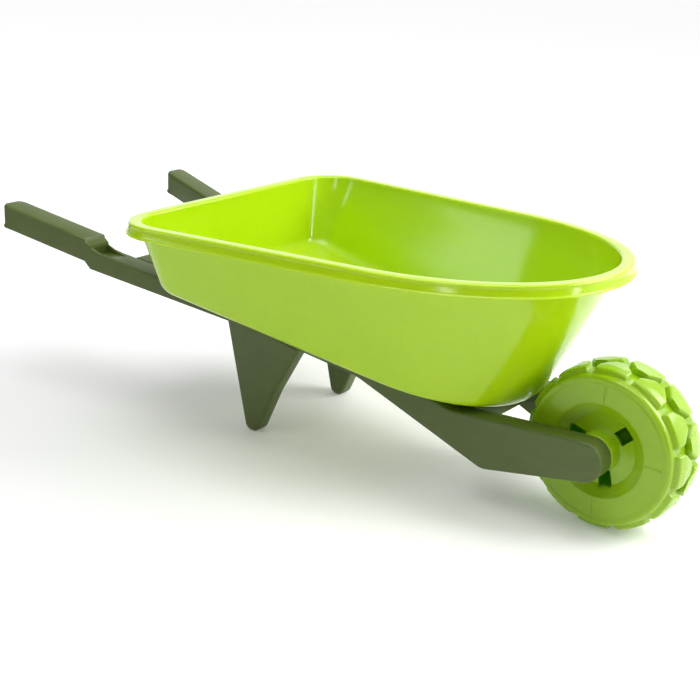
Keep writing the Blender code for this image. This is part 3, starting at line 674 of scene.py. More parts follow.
class Scatter(GeometryTree):
    """Places one item at every point of a mesh, turned to the point's axis and stretched to its size."""

    def __init__(self) -> None:
        """Builds the tree."""
        super().__init__("place_items", {"Item": "NodeSocketObject", "Material": "NodeSocketMaterial"})
        item = self.node("GeometryNodeObjectInfo", None, {"Object": self.given("Item")}, "Geometry")
        axis = self.named("axis", "FLOAT_VECTOR")
        turn = self.node("FunctionNodeAlignRotationToVector", {"axis": "Z"}, {"Vector": axis})
        angle = self.named("spin", "FLOAT")
        spin = self.node("FunctionNodeAxisAngleToRotation", None, {"Axis": (0, 0, 1), "Angle": angle})
        spun = self.node("FunctionNodeRotateRotation", {"rotation_space": "LOCAL"}, {0: turn, 1: spin})
        points = self.node("GeometryNodeMeshToPoints", None, {"Mesh": self.given("Geometry")})
        placed = self.node(
            "GeometryNodeInstanceOnPoints",
            None,
            {"Points": points, "Instance": item, "Rotation": spun, "Scale": self.named("size", "FLOAT_VECTOR")},
        )
        self.close(placed)

    def place(
        self,
        name: str,
        item: bpy.types.Object,
        rows: Sequence[tuple[Point, Point, float, Point]],
        material: bpy.types.Material,
        sharp: float = 35.0,
    ) -> bpy.types.Object:
        """Makes one object of an item repeated.

        Args:
            name: The new object's name.
            item: The item, which is deleted afterwards.
            rows: (place, axis, spin, size) of each copy.
            material: The copies' material.
            sharp: Crisp-edge angle in degrees.

        Returns:
            The new object.
        """
        mesh = bpy.data.meshes.new(name)
        mesh.from_pydata([row[0] for row in rows], [], [])
        columns = (("axis", "FLOAT_VECTOR", "vector"), ("spin", "FLOAT", "value"), ("size", "FLOAT_VECTOR", "vector"))
        for column, (label, kind, key) in enumerate(columns, 1):
            attribute = mesh.attributes.new(label, kind, "POINT")
            for entry, row in zip(attribute.data, rows):
                setattr(entry, key, row[column])
        obj = bpy.data.objects.new(name, mesh)
        bpy.context.scene.collection.objects.link(obj)
        self.run(obj, {"Item": item, "Material": material}, sharp)
        bpy.data.objects.remove(item)
        return obj


class TreadTree(GeometryTree):
    """Raises staggered, tapered lugs on a smooth half wheel."""

    SIZES = (
        "Axle X",
        "Axle Z",
        "Radius",
        "Depth",
        "Pitch",
        "First",
        "Half Width",
        "Nose",
        "Taper Y",
        "Foot Y",
        "Crown Drop",
        "Edge",
    )

    def __init__(self) -> None:
        """Builds the tree."""
        sizes = {label: "NodeSocketFloat" for label in self.SIZES}
        super().__init__("raise_lugs", {**sizes, "Material": "NodeSocketMaterial"})
        given = self.given
        split = self.node("ShaderNodeSeparateXYZ", None, {0: self.node("GeometryNodeInputPosition")}).socket.node
        x, y, z = (Sock(self, split.outputs[i]) for i in range(3))
        across, up, width = x - given("Axle X"), z - given("Axle Z"), abs(y)
        radius = (across * across + up * up).math("SQRT")
        angle = up.math("ARCTAN2", across)
        turns = (angle - given("First")) / given("Pitch") + 100.5
        off_centre = abs(turns.math("FRACT") - 0.5) * given("Pitch") * given("Radius")
        share = given("Nose") + (1 - given("Nose")) * (width / given("Taper Y")).math("MINIMUM", 1.0)
        inside = self.pillow(given("Half Width") * share - off_centre)
        rise = self.pillow(given("Foot Y") - width)
        base = given("Radius") - given("Depth")
        tread = radius.step(base - 0.0006, base - 0.0002)
        crown = given("Depth") - given("Crown Drop") * width.step(0.010, given("Foot Y"))
        lift = inside * rise * tread * crown / radius
        offset = self.node("ShaderNodeCombineXYZ", None, {0: across * lift, 1: 0.0, 2: up * lift})
        raised = self.node("GeometryNodeSetPosition", None, {"Geometry": given("Geometry"), "Offset": offset})
        self.close(raised)

    def pillow(self, depth: Sock) -> Sock:
        """A steep rise with a rounded top edge, from how far inside the lug's outline a point is."""
        left = 1 - (depth / self.given("Edge")).math("MAXIMUM", 0.0).math("MINIMUM", 1.0)
        return (1 - left * left).math("MAXIMUM", 0.0).math("SQRT")


# --- The barrow's lines ---


@dataclass(frozen=True)
class Lines:
    """Sizes that the pieces share: the deck that the tray rests on, the grips, the shafts and the axle."""

    length: float = 0.7818
    gap: float = 0.0003
    axle_z: float = 0.0785
    grip_length: float = 0.1173
    grip_top: float = 0.1952
    grip_slope: float = 0.1765
    step_length: float = 0.0065
    deck_x: float = -0.1769
    deck_height: float = 0.1492
    deck_slope: float = 0.14467
    bend_x: float = -0.0583
    bend_y: float = 0.0822
    splay: float = 0.1786
    arm_inner: float = 0.0375
    arm_width: float = 0.0205
    bend_width: float = 0.0225
    rear_width: float = 0.0265
    taper_x: float = 0.0693
    dip_x: float = 0.0993
    arm_top: tuple[float, float] = (0.1770, 0.0903)
    arm_kink: tuple[float, float] = (0.2137, 0.0414)
    arm_end: float = 0.0195
    depth_rear: float = 0.0208
    depth_taper: float = 0.0165

    @property
    def axle_x(self) -> float:
        """The axle's place along the barrow."""
        return self.length / 2 - self.axle_z

    @property
    def grip_rear(self) -> float:
        """The grips' rear end."""
        return -self.length / 2

    @property
    def grip_front(self) -> float:
        """The grips' front end."""
        return self.grip_rear + self.grip_length

    def deck_z(self, x: float) -> float:
        """The deck's height."""
        return self.deck_height - self.deck_slope * (x - self.deck_x)

    def grip_z(self, x: float) -> float:
        """The grip top's height."""
        return self.grip_top - self.grip_slope * (x - self.grip_rear)

    def outer_y(self, x: float) -> float:
        """Distance of a shaft's outer face from the middle."""
        if x < self.bend_x:
            return self.bend_y + self.splay * (self.bend_x - x)
        end = self.arm_inner + self.arm_width
        return mix(self.bend_y, end, (min(x, self.axle_x) - self.bend_x) / (self.axle_x - self.bend_x))

    @property
    def channel_rear(self) -> float:
        """Where the step in front of a grip ends."""
        return self.grip_front + self.step_length

    def width(self, x: float) -> float:
        """A shaft's width."""
        if x < self.bend_x:
            return mix(self.bend_width, self.rear_width, (self.bend_x - x) / (self.bend_x - self.channel_rear))
        return mix(self.bend_width, self.arm_width, (min(x, self.axle_x) - self.bend_x) / (self.axle_x - self.bend_x))

    def inner_y(self, x: float) -> float:
        """Distance of a shaft's inner face from the middle."""
        return self.outer_y(x) - self.width(x)

    def tangent(self, side: int) -> tuple[float, float]:
        """Where an arm's top (1) or bottom (-1) edge runs onto its round end."""
        from_x, from_z = self.arm_top if side > 0 else self.arm_kink
        across, up = self.axle_x - from_x, self.axle_z - from_z
        angle = math.atan2(up, across) + side * math.asin(self.arm_end / math.hypot(across, up))
        return self.axle_x - side * self.arm_end * math.sin(angle), self.axle_z + side * self.arm_end * math.cos(angle)

    def top_z(self, x: float) -> float:
        """A shaft's top edge ahead of its grip."""
        if x <= self.dip_x:
            return self.deck_z(x)
        return through(x, ((self.dip_x, self.deck_z(self.dip_x)), self.arm_top, self.tangent(1)))

    def bottom_z(self, x: float) -> float:
        """A shaft's bottom edge ahead of its grip."""
        rear = self.channel_rear
        if x <= self.taper_x:
            return self.deck_z(x) - mix(self.depth_rear, self.depth_taper, (x - rear) / (self.taper_x - rear))
        taper = (self.taper_x, self.deck_z(self.taper_x) - self.depth_taper)
        return through(x, (taper, self.arm_kink, self.tangent(-1)))


def softened(line: Callable[[float], float], x: float, reach: float) -> float:
    """A line's height at x with its corners rounded over a reach."""
    return sum(line(x + reach * k / 3) for k in range(-3, 4)) / 7


# --- Tray ---


@dataclass(frozen=True)
class Outline:
    """A plan outline with a straight rear, rounded rear corners, straight sides and a round nose."""

    rear_x: float
    front_x: float
    rear_half: float
    side_x: float
    side_half: float
    corner: float

    def half(self) -> list[Vector]:
        """Points from the rear centre round the left side to the front centre."""
        side = Vector((self.side_x - self.rear_x, self.side_half - self.rear_half)).normalized()
        start = Vector((self.rear_x, self.rear_half - self.corner))
        end = Vector((self.rear_x, self.rear_half)) + side * self.corner
        shoulder, tip = Vector((self.side_x, self.side_half)), Vector((self.front_x, 0.0))
        points = [Vector((self.rear_x, 0.0)).lerp(start, i / 8) for i in range(9)]
        points += self._curve(start, start + Vector((0, 0.56 * self.corner)), end - side * 0.56 * self.corner, end, 22)
        points += [end.lerp(shoulder, i / 16) for i in range(1, 17)]
        reach = 0.5523 * (self.front_x - self.side_x)
        points += self._curve(shoulder, shoulder + side * reach, tip + Vector((0, 0.5523 * self.side_half)), tip, 48)
        return points

    @staticmethod
    def _curve(a: Vector, b: Vector, c: Vector, d: Vector, count: int) -> list[Vector]:
        """Points of a cubic curve after its start."""
        found = []
        for i in range(1, count + 1):
            t = i / count
            found.append(a * (1 - t) ** 3 + b * 3 * t * (1 - t) ** 2 + c * 3 * t * t * (1 - t) + d * t**3)
        return found

    def whole(self) -> tuple[list[Vector], list[Vector]]:
        """All the points, and the outward direction at each."""
        half = self.half()
        points = half + [Vector((point.x, -point.y)) for point in reversed(half[1:-1])]
        out = []
        for i, _ in enumerate(points):
            along = points[(i + 1) % len(points)] - points[i - 1]
            out.append(Vector((-along.y, along.x)).normalized())
        return points, out


@dataclass
class Tray:
    """The lime tray: a deep tub with a flat sloping floor, filleted foot and a rolled, beaded rim."""

    lines: Lines
    finishes: Finishes
    floor: Outline = Outline(-0.1554, 0.2226, 0.1330, 0.1144, 0.1010, 0.0280)
    rim: Outline = Outline(-0.1695, 0.2917, 0.1660, 0.1195, 0.1387, 0.0500)
    rim_rear_z: float = 0.2233
    rim_front_z: float = 0.2385
    wall: float = 0.0026
    floor_thick: float = 0.0028
    fillet: float = 0.0130

    def rim_z(self, x: float) -> float:
        """The rim's height."""
        return mix(self.rim_rear_z, self.rim_front_z, (x - self.rim.rear_x) / (self.rim.front_x - self.rim.rear_x))

    def rim_profile(self) -> list[tuple[float, float]]:
        """(outwards, down) points from under the rim, over the bead, flange and roll, to the inner wall."""
        points = [(0.0012, 0.0046), (0.0034, 0.0033), (0.0052, 0.0032), (0.0064, 0.0037), (0.0072, 0.0048)]
        points += [(0.0079, 0.0070), (0.0090, 0.0104), (0.0094, 0.0118), (0.0101, 0.0125), (0.0110, 0.0125)]
        points += arc((0.0117, 0.0115), 0.0010, 85, -75, 8)
        points += [(0.0115, 0.0103), (0.0112, 0.0098), (0.0107, 0.0080), (0.0101, 0.0057), (0.0098, 0.0045)]
        points += arc((0.0073, 0.00278), 0.0026, 22, -86, 10)
        points += [(0.0058, 0.00012), (0.0036, 0.00008), (0.0014, 0.0001)]
        points += arc((-0.0004, 0.0032), 0.0030, -96, -168, 8)
        return points

    def rings(self) -> list[Ring]:
        """The tray's section carried round its outline, from the outer floor to the inner floor."""
        low, low_out = self.floor.whole()
        high, high_out = self.rim.whole()

        def rim_ring(out: float, drop: float) -> Ring:
            """The rim outline moved outwards and down."""
            places = [point + way * out for point, way in zip(high, high_out)]
            return [Vector((p.x, p.y, self.rim_z(p.x) - drop)) for p in places]

        def floor_ring(out: float, rise: float) -> Ring:
            """The floor outline moved outwards and up."""
            places = [point + way * out for point, way in zip(low, low_out)]
            return [Vector((p.x, p.y, self.lines.deck_z(p.x) + self.lines.gap + rise)) for p in places]

        def foot(top: Ring, corner: Ring, flat: Ring, radius: float) -> list[Ring]:
            """Rings down a wall and round its foot onto the floor."""
            found = []
            shares = [min(0.5, radius / (above - edge).length) for above, edge in zip(top, corner)]
            for t in (0.25, 0.5, 0.75):
                found.append([edge.lerp(above, mix(1.0, share, t)) for above, edge, share in zip(top, corner, shares)])
            for step in range(9):
                u = step / 8
                ring = []
                for above, edge, inside, share in zip(top, corner, flat, shares):
                    start = edge.lerp(above, share)
                    ring.append(start * (1 - u) ** 2 + edge * 2 * u * (1 - u) + inside * u * u)
                found.append(ring)
            return found

        outer_top, inner_top = rim_ring(-0.0004, 0.0062), rim_ring(-0.0034, 0.0046)
        outer = foot(outer_top, floor_ring(0, 0), floor_ring(-self.fillet, 0), self.fillet)
        radius = self.fillet - self.wall
        thick = self.floor_thick
        inner = foot(inner_top, floor_ring(-self.wall, thick), floor_ring(-self.wall - radius, thick), radius)
        middle = [rim_ring(out, drop) for out, drop in self.rim_profile()]
        return list(reversed(outer)) + [outer_top] + middle + [inner_top] + inner

    def build(self) -> bpy.types.Object:
        """Makes the tray.

        Returns:
            The finished piece.
        """
        tray = make_object("tray_shell", loft(self.rings()), self.finishes.lime, 50.0)
        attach(tray, Body.CHASSIS.value)
        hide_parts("tray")
        return tray


# --- Shafts and legs ---


@dataclass
class Shaft:
    """One olive shaft: grip, stepped shoulder, channel with ribs, and the fork arm's round end."""

    lines: Lines
    finishes: Finishes
    scatter: Scatter
    side: Side
    wall: float = 0.0026
    grip_width: float = 0.0296
    grip_depth: float = 0.0255
    grip_round: float = 0.0110
    edge: float = 0.0022
    grip_edge: float = 0.0034
    pocket_length: float = 0.0330
    pocket_depth: float = 0.0062
    pocket_lip: float = 0.0036
    lip_rise: float = 0.0034
    inner_wall_depth: float = 0.0200
    rib_pitch: float = 0.0450
    rib_thick: float = 0.0020
    step_reach: float = 0.0086
    grip_lip: float = 0.0011
    grip_lip_reach: float = 0.0160
    leg_bay: tuple[float, float] = (-0.0873, -0.0132)
    past: float = 0.01

    @property
    def kinks(self) -> tuple[float, ...]:
        """Where the shaft's lines bend."""
        lines = self.lines
        return (lines.bend_x, lines.taper_x, lines.dip_x, lines.arm_top[0], lines.arm_kink[0])

    def section(
        self,
        x: float,
        top: float,
        bottom: float,
        outer: float,
        inner: float,
        edge: float,
        lip: float = 0.0,
        back: float = 0.0,
    ) -> Ring:
        """A ring across the shaft with rounded top edges.

        Args:
            x: Its place along the barrow.
            top: Top height.
            bottom: Bottom height.
            outer: Outer face's distance from the middle.
            inner: Inner face's distance from the middle.
            edge: Radius of the top edges.
            lip: How far the foot of each face stands out.
            back: How far the foot stands out to the rear.

        Returns:
            The ring's points.
        """
        edge = min(edge, 0.45 * (outer - inner), 0.45 * (top - bottom))
        tall = min(0.0030, 0.3 * (top - bottom))
        chamfer, lip_top = 0.0004, bottom + 0.6 * tall
        points = [(outer + lip - chamfer, bottom), (outer + lip, bottom + chamfer), (outer + lip, lip_top)]
        points += [(outer, bottom + tall), *arc((outer - edge, top - edge), edge, 0, 90, 7)]
        points += [*arc((inner + edge, top - edge), edge, 90, 180, 7), (inner, bottom + tall)]
        points += [(inner - lip, lip_top), (inner - lip, bottom + chamfer), (inner - lip + chamfer, bottom)]
        foot = bottom + 0.7 * tall
        return [(x - (back if z <= foot else 0.0), self.side.value * y, z) for y, z in points]

    def quad(self, x: float, outer: float, inner: float, top: float, bottom: float) -> Ring:
        """A four-cornered ring across the shaft."""
        return [(x, self.side.value * y, z) for y, z in ((outer, top), (inner, top), (inner, bottom), (outer, bottom))]

    def grip_half(self, along: float) -> float:
        """Half the grip's width at a distance from its rounded rear end."""
        left = max(0.0, 1 - along / self.grip_round)
        return 0.5 * self.grip_width * max(0.50, (1 - left**2.4) ** (1 / 2.4))

    def grip_rings(self) -> list[Ring]:
        """The grip's rings from its rounded rear end to its front face."""
        lines, rings = self.lines, []
        end = (0.0, 0.0004, 0.0012, 0.0025, 0.0042, 0.0062, 0.0085, self.grip_round)
        for along in (*end, 0.018, 0.030, 0.060, 0.090, lines.grip_length):
            fade = max(0.0, 1 - along / self.grip_lip_reach)
            back, lip = 0.0013 * fade, self.grip_lip * fade
            x = lines.grip_rear + along + back
            half = self.grip_half(along)
            middle = lines.outer_y(x) - self.grip_width / 2
            crown = 0.0022 * max(0.0, 1 - along / 0.0030) ** 2
            top = lines.grip_z(x)
            bottom = top - self.grip_depth
            rings.append(self.section(x, top - crown, bottom, middle + half, middle - half, self.grip_edge, lip, back))
        return rings

    def step_rings(self) -> list[Ring]:
        """The stepped shoulder between the grip's top and the shaft's."""
        lines, rings = self.lines, []
        start = lines.grip_front
        high, low = lines.grip_z(start), lines.grip_z(start) - self.grip_depth
        end = lines.bottom_z(start + self.step_reach)
        steps = (
            (0.0006, 0.0009, 0.0024),
            (0.0009, 0.0034, 0.0014),
            (0.0013, 0.0039, 0.0012),
            (0.0045, 0.0052, 0.0012),
            (0.0074, 0.0064, 0.0012),
            (0.0080, 0.0069, 0.0012),
        )
        for along, drop, edge in steps:
            x = start + along
            share = along / self.step_reach
            inner = mix(lines.outer_y(x) - self.grip_width, lines.inner_y(x), share)
            bottom = mix(low, end, min(1.0, share * 1.15))
            rings.append(self.section(x, high - drop, bottom, lines.outer_y(x), inner, edge))
        return rings

    def shaft_rings(self) -> list[Ring]:
        """The rings of the channel and the arm."""
        lines, rings = self.lines, []
        start = lines.grip_front + self.step_reach
        last = min(lines.tangent(1)[0], lines.tangent(-1)[0]) - 0.0005
        places = set(np.linspace(start, last, 60).round(5))
        for kink in self.kinks:
            places |= {round(kink + d, 5) for d in (-0.006, -0.004, -0.002, 0.0, 0.002, 0.004, 0.006)}
        for x in sorted(p for p in places if start <= p <= last):
            reach = min(0.005, x - start, last - x)
            ramp = max(0.0, 1 - (x - start) / 0.0160) ** 2 * self.lip_rise
            top, bottom = softened(lines.top_z, x, reach) + ramp, softened(lines.bottom_z, x, reach)
            outer, inner = softened(lines.outer_y, x, reach), softened(lines.inner_y, x, reach)
            rings.append(self.section(x, top, bottom, outer, inner, self.edge))
        for angle in (6, 14, 22, 30, 38, 46, 54, 62, 70, 77, 83, 87):
            across = lines.arm_end * math.sin(math.radians(angle))
            rise = lines.arm_end * math.cos(math.radians(angle))
            x = lines.axle_x + across
            if x > max(lines.tangent(1)[0], lines.tangent(-1)[0]):
                drawn = 0.0010 * max(0.0, (angle - 60) / 27) ** 2
                outer, inner = lines.outer_y(x) - drawn, lines.inner_y(x) + drawn
                rings.append(self.section(x, lines.axle_z + rise, lines.axle_z - rise, outer, inner, self.edge))
        return rings

    def bays(self) -> list[tuple[float, float]]:
        """Start and end of each hollow bay under the shaft."""
        lines = self.lines
        leg_start, leg_end = self.leg_bay
        first = lines.channel_rear + self.pocket_length + self.wall
        last = lines.axle_x - lines.arm_end - self.wall
        return [(first, leg_start - self.rib_thick), (leg_start, leg_end), (leg_end + self.rib_thick, last)]

    def bay_shell(self, start: float, end: float) -> bmesh.types.BMesh:
        """The hollow between the shaft's walls over one bay."""
        lines, rings = self.lines, []
        for x in [start] + [k for k in self.kinks if start < k < end] + [end]:
            outer, inner = lines.outer_y(x) - self.wall, lines.inner_y(x) + self.wall
            rings.append(self.quad(x, outer, inner, lines.top_z(x) - self.wall, lines.bottom_z(x) - self.past))
        return loft(rings)

    def relief_shell(self) -> bmesh.types.BMesh:
        """What is missing from the arm's inner wall below its short depth."""
        lines, rings = self.lines, []
        end = lines.axle_x - lines.arm_end - self.wall
        for x in (*self.kinks[1:], end):
            top = lines.top_z(x) - self.inner_wall_depth
            bottom = min(lines.bottom_z(x), top) - 0.012
            rings.append(self.quad(x, lines.inner_y(x) + self.wall + 0.0002, lines.inner_y(x) - self.past, top, bottom))
        return loft(rings)

    def grip_hollow(self) -> bmesh.types.BMesh:
        """The hollow under the grip."""
        lines, rings = self.lines, []
        rear = lines.grip_rear
        for x in (rear + 0.0066, rear + 0.0106, rear + self.grip_round + 0.003, lines.grip_front - self.wall):
            middle = lines.outer_y(x) - self.grip_width / 2
            half = self.grip_half(x - self.wall - rear) - self.wall
            top = lines.grip_z(x) - self.wall
            rings.append(self.quad(x, middle + half, middle - half, top, top - self.grip_depth - self.past))
        return loft(rings)

    def pocket_shell(self) -> bmesh.types.BMesh:
        """The wedge-shaped dip in front of the grip's step."""
        lines, rings = self.lines, []
        start = lines.grip_front + 0.0090
        for along in (0.0, 0.12, 0.25, 0.4, 0.5, 0.75, 1.0):
            x = start + along * (self.pocket_length - 0.0025)
            outer = lines.outer_y(x) - self.pocket_lip - 0.0012 * along
            inner = lines.inner_y(x) + 0.0030 + 0.0050 * along
            low, high = lines.deck_z(x) - self.pocket_depth * (1 - along) ** 1.15, lines.deck_z(x) + 0.006
            corners = ((outer + 0.001, high), (inner - 0.001, high), (inner, low), (outer, low))
            rings.append([(x, self.side.value * y, z) for y, z in corners])
        return loft(rings)

    def ribs(self) -> bpy.types.Object:
        """The cross ribs in the channel, one shape repeated along it."""
        lines, rows = self.lines, []
        bays = self.bays()
        for start, end in (bays[0], bays[2]):
            count = max(1, round((end - start) / self.rib_pitch))
            for i in range(1, count):
                x = start + (end - start) * i / count
                outer, inner = lines.outer_y(x) - self.wall + BITE, lines.inner_y(x) + self.wall - BITE
                top = lines.top_z(x) - self.wall + BITE
                bottom = max(lines.bottom_z(x) + 0.0012, top - self.inner_wall_depth if x > lines.taper_x else -1.0)
                place = (x, self.side.value * (outer + inner) / 2, (top + bottom) / 2)
                rows.append((place, UP, 0.0, (self.rib_thick, outer - inner, top - bottom)))
        return self.scatter.place(f"{self.side.label}_ribs", unit_box("rib", 0.04), rows, self.finishes.olive)

    def build(self) -> bpy.types.Object:
        """Makes the shaft.

        Returns:
            The finished piece.
        """
        outside = loft(self.grip_rings() + self.step_rings() + self.shaft_rings())
        shaft = make_object(f"{self.side.label}_shaft_moulding", outside, self.finishes.olive)
        tools = [self.bay_shell(*bay) for bay in self.bays()] + [self.grip_hollow(), self.pocket_shell()]
        cut(shaft, joined("hollows", tools), 35.0)
        cut(shaft, joined("relief", [self.relief_shell()]), 35.0)
        fuse(shaft, [self.ribs()])
        shade(shaft.data, 35.0)
        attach(shaft, Body.CHASSIS.value)
        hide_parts(f"{self.side.label}_shaft")
        return shaft


@dataclass
class Leg:
    """One olive leg: a solid wedge with rounded edges and a rounded foot, its top a small gap below the shaft."""

    lines: Lines
    finishes: Finishes
    side: Side
    foot_x: float = -0.0615
    foot_radius: float = 0.0100
    foot_flat: float = 0.0060
    rear_x: float = -0.0990
    front_x: float = -0.0015
    waist: tuple[float, float] = (-0.0326, 0.0504)
    outer: float = 0.0800
    thick: float = 0.0180
    splay: float = 0.020
    edge: float = 0.0034

    def corner(self, x: float) -> Vector:
        """A top corner of the side view, a gap below the shaft."""
        return Vector((x, self.lines.bottom_z(x) - self.lines.gap))

    def outline(self) -> list[Vector]:
        """The leg's side view, from the rear top corner round the foot to the front top corner."""
        rear, waist, front = self.corner(self.rear_x), Vector(self.waist), self.corner(self.front_x)
        rear_height = self.lines.bottom_z(self.rear_x) - self.lines.gap - self.foot_radius
        rear_slope = (self.foot_x - self.foot_radius - self.rear_x) / rear_height
        start = math.pi + math.atan(rear_slope)
        lean = math.atan2(self.waist[0] - self.foot_x - self.foot_radius * 0.94, self.waist[1] - self.foot_radius * 0.6)
        flat = math.asin(self.foot_flat / 2 / self.foot_radius)
        low, high, end = 1.5 * math.pi - flat, 1.5 * math.pi + flat, TURN - lean
        drop = self.foot_radius * math.cos(flat)
        foot = []
        for first, last in ((start, low), (high, end)):
            for x, z in arc((self.foot_x, drop), self.foot_radius, math.degrees(first), math.degrees(last), 12):
                foot.append(Vector((x, z)))
        points = [rear.lerp(foot[0], i / 6) for i in range(6)] + foot
        points += [foot[-1].lerp(waist, i / 5) for i in range(1, 5)]
        points += [foot[-1].lerp(waist, 0.9), waist, waist.lerp(front, 0.08)]
        return points + [waist.lerp(front, i / 5) for i in range(1, 6)]

    def inset(self, points: list[Vector], amount: float) -> list[Vector]:
        """The outline drawn in, with its top kept against the shaft."""
        found = []
        for i, point in enumerate(points):
            if i in (0, len(points) - 1):
                found.append(Vector((point.x + (amount if i == 0 else -amount), point.y)))
                continue
            along = (points[i + 1] - points[i - 1]).normalized()
            found.append(point + Vector((-along.y, along.x)) * amount)
        return found

    def build(self) -> bpy.types.Object:
        """Makes the leg.

        Returns:
            The finished piece.
        """
        outline, rings = self.outline(), []
        turns = [math.radians(a) for a in (0, 18, 36, 54, 72, 90)]
        rows = [(self.edge * (1 - math.sin(t)), self.edge * (1 - math.cos(t))) for t in turns]
        rows += [(draw, self.thick - depth) for draw, depth in reversed(rows)]
        for draw, depth in rows:
            ring = []
            for p in self.inset(outline, draw):
                y = self.outer - self.splay * (p.x - self.foot_x) - depth
                ring.append((p.x, self.side.value * y, max(p.y, 0.0)))
            rings.append(ring)
        leg = make_object(f"{self.side.label}_leg_moulding", loft(rings), self.finishes.olive, 35.0)
        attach(leg, Body.CHASSIS.value)
        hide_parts(f"{self.side.label}_leg")
        return leg


# --- Cross members and screws ---


@dataclass
class CrossMember:
    """A plate between the shafts with downturned edges, stiffening ribs and screw bosses below."""

    lines: Lines
    finishes: Finishes
    scatter: Scatter
    node: str
    rear_x: float
    front_x: float
    depth: float
    floor_z: float | None
    screw: tuple[float, float]
    wall: float = 0.0026
    edge: float = 0.0012
    boss_radius: float = 0.0052
    boss_height: float = 0.0110
    rib_pitch: float = 0.0340
    rib_thick: float = 0.0018

    def bottom_z(self, x: float) -> float:
        """The height of the downturned edges' foot."""
        return self.lines.deck_z(x) - self.depth if self.floor_z is None else self.floor_z

    def corner_ring(self, inset: float, height: Callable[[float], float]) -> Ring:
        """The outline drawn in by an inset, at a height given along X."""
        lines, ring = self.lines, []
        rear, front = self.rear_x, self.front_x
        for x, sign, ahead in ((rear, -1, 1), (rear, 1, 1), (front, 1, -1), (front, -1, -1)):
            px = x + ahead * inset
            ring.append((px, sign * (lines.inner_y(px) - lines.gap - inset), height(px)))
        points = []
        for point, after in zip(ring, ring[1:] + ring[:1]):
            points += [tuple(Vector(point).lerp(Vector(after), k / 8)) for k in range(8)]
        return points

    def build(self) -> bpy.types.Object:
        """Makes the cross member.

        Returns:
            The finished piece.
        """
        deck, bottom, e, chamfer = self.lines.deck_z, self.bottom_z, self.edge, 0.0003
        rings = [
            self.corner_ring(1.2 * e, deck),
            self.corner_ring(e, deck),
            self.corner_ring(0.3 * e, lambda x: deck(x) - 0.3 * e),
            self.corner_ring(0.0, lambda x: deck(x) - e),
            self.corner_ring(0.0, lambda x: bottom(x) + chamfer),
            self.corner_ring(chamfer, bottom),
            self.corner_ring(self.wall - chamfer, bottom),
            self.corner_ring(self.wall, lambda x: bottom(x) + chamfer),
            self.corner_ring(self.wall, lambda x: deck(x) - self.wall),
        ]
        plate = make_object(f"{self.node}_moulding", loft(rings), self.finishes.olive, 35.0)
        fuse(plate, [self.bosses(), self.ribs()])
        shade(plate.data, 35.0)
        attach(plate, Body.CHASSIS.value)
        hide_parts(self.node)
        return plate

    def bosses(self) -> bpy.types.Object:
        """The screw bosses under the plate."""
        normal = Vector((self.lines.deck_slope, 0.0, 1.0)).normalized()
        item = make_object("boss", loft([circle(0.9, -1.0, 24), circle(1.0, -0.96, 24), circle(1.06, 0.0, 24)]), None)
        rows, (x, y) = [], self.screw
        for sign in (-1, 1):
            place = Vector((x, sign * y, self.lines.deck_z(x))) - normal * 0.0010
            rows.append((tuple(place), tuple(normal), 0.0, (self.boss_radius, self.boss_radius, self.boss_height)))
        return self.scatter.place(f"{self.node}_bosses", item, rows, self.finishes.olive)

    def ribs(self) -> bpy.types.Object:
        """Stiffening ribs across the plate's underside."""
        rows, span = [], self.front_x - self.rear_x
        count = max(2, round(span / self.rib_pitch))
        for i in range(1, count):
            x = self.rear_x + span * i / count
            top = self.lines.deck_z(x) - self.wall + BITE
            low = mix(top, self.bottom_z(x), 0.6)
            half = self.lines.inner_y(x) - self.lines.gap - self.wall + BITE
            rows.append(((x, 0.0, (top + low) / 2), UP, 0.0, (self.rib_thick, 2 * half, top - low)))
        return self.scatter.place(f"{self.node}_ribs", unit_box("rib", 0.03), rows, self.finishes.olive)


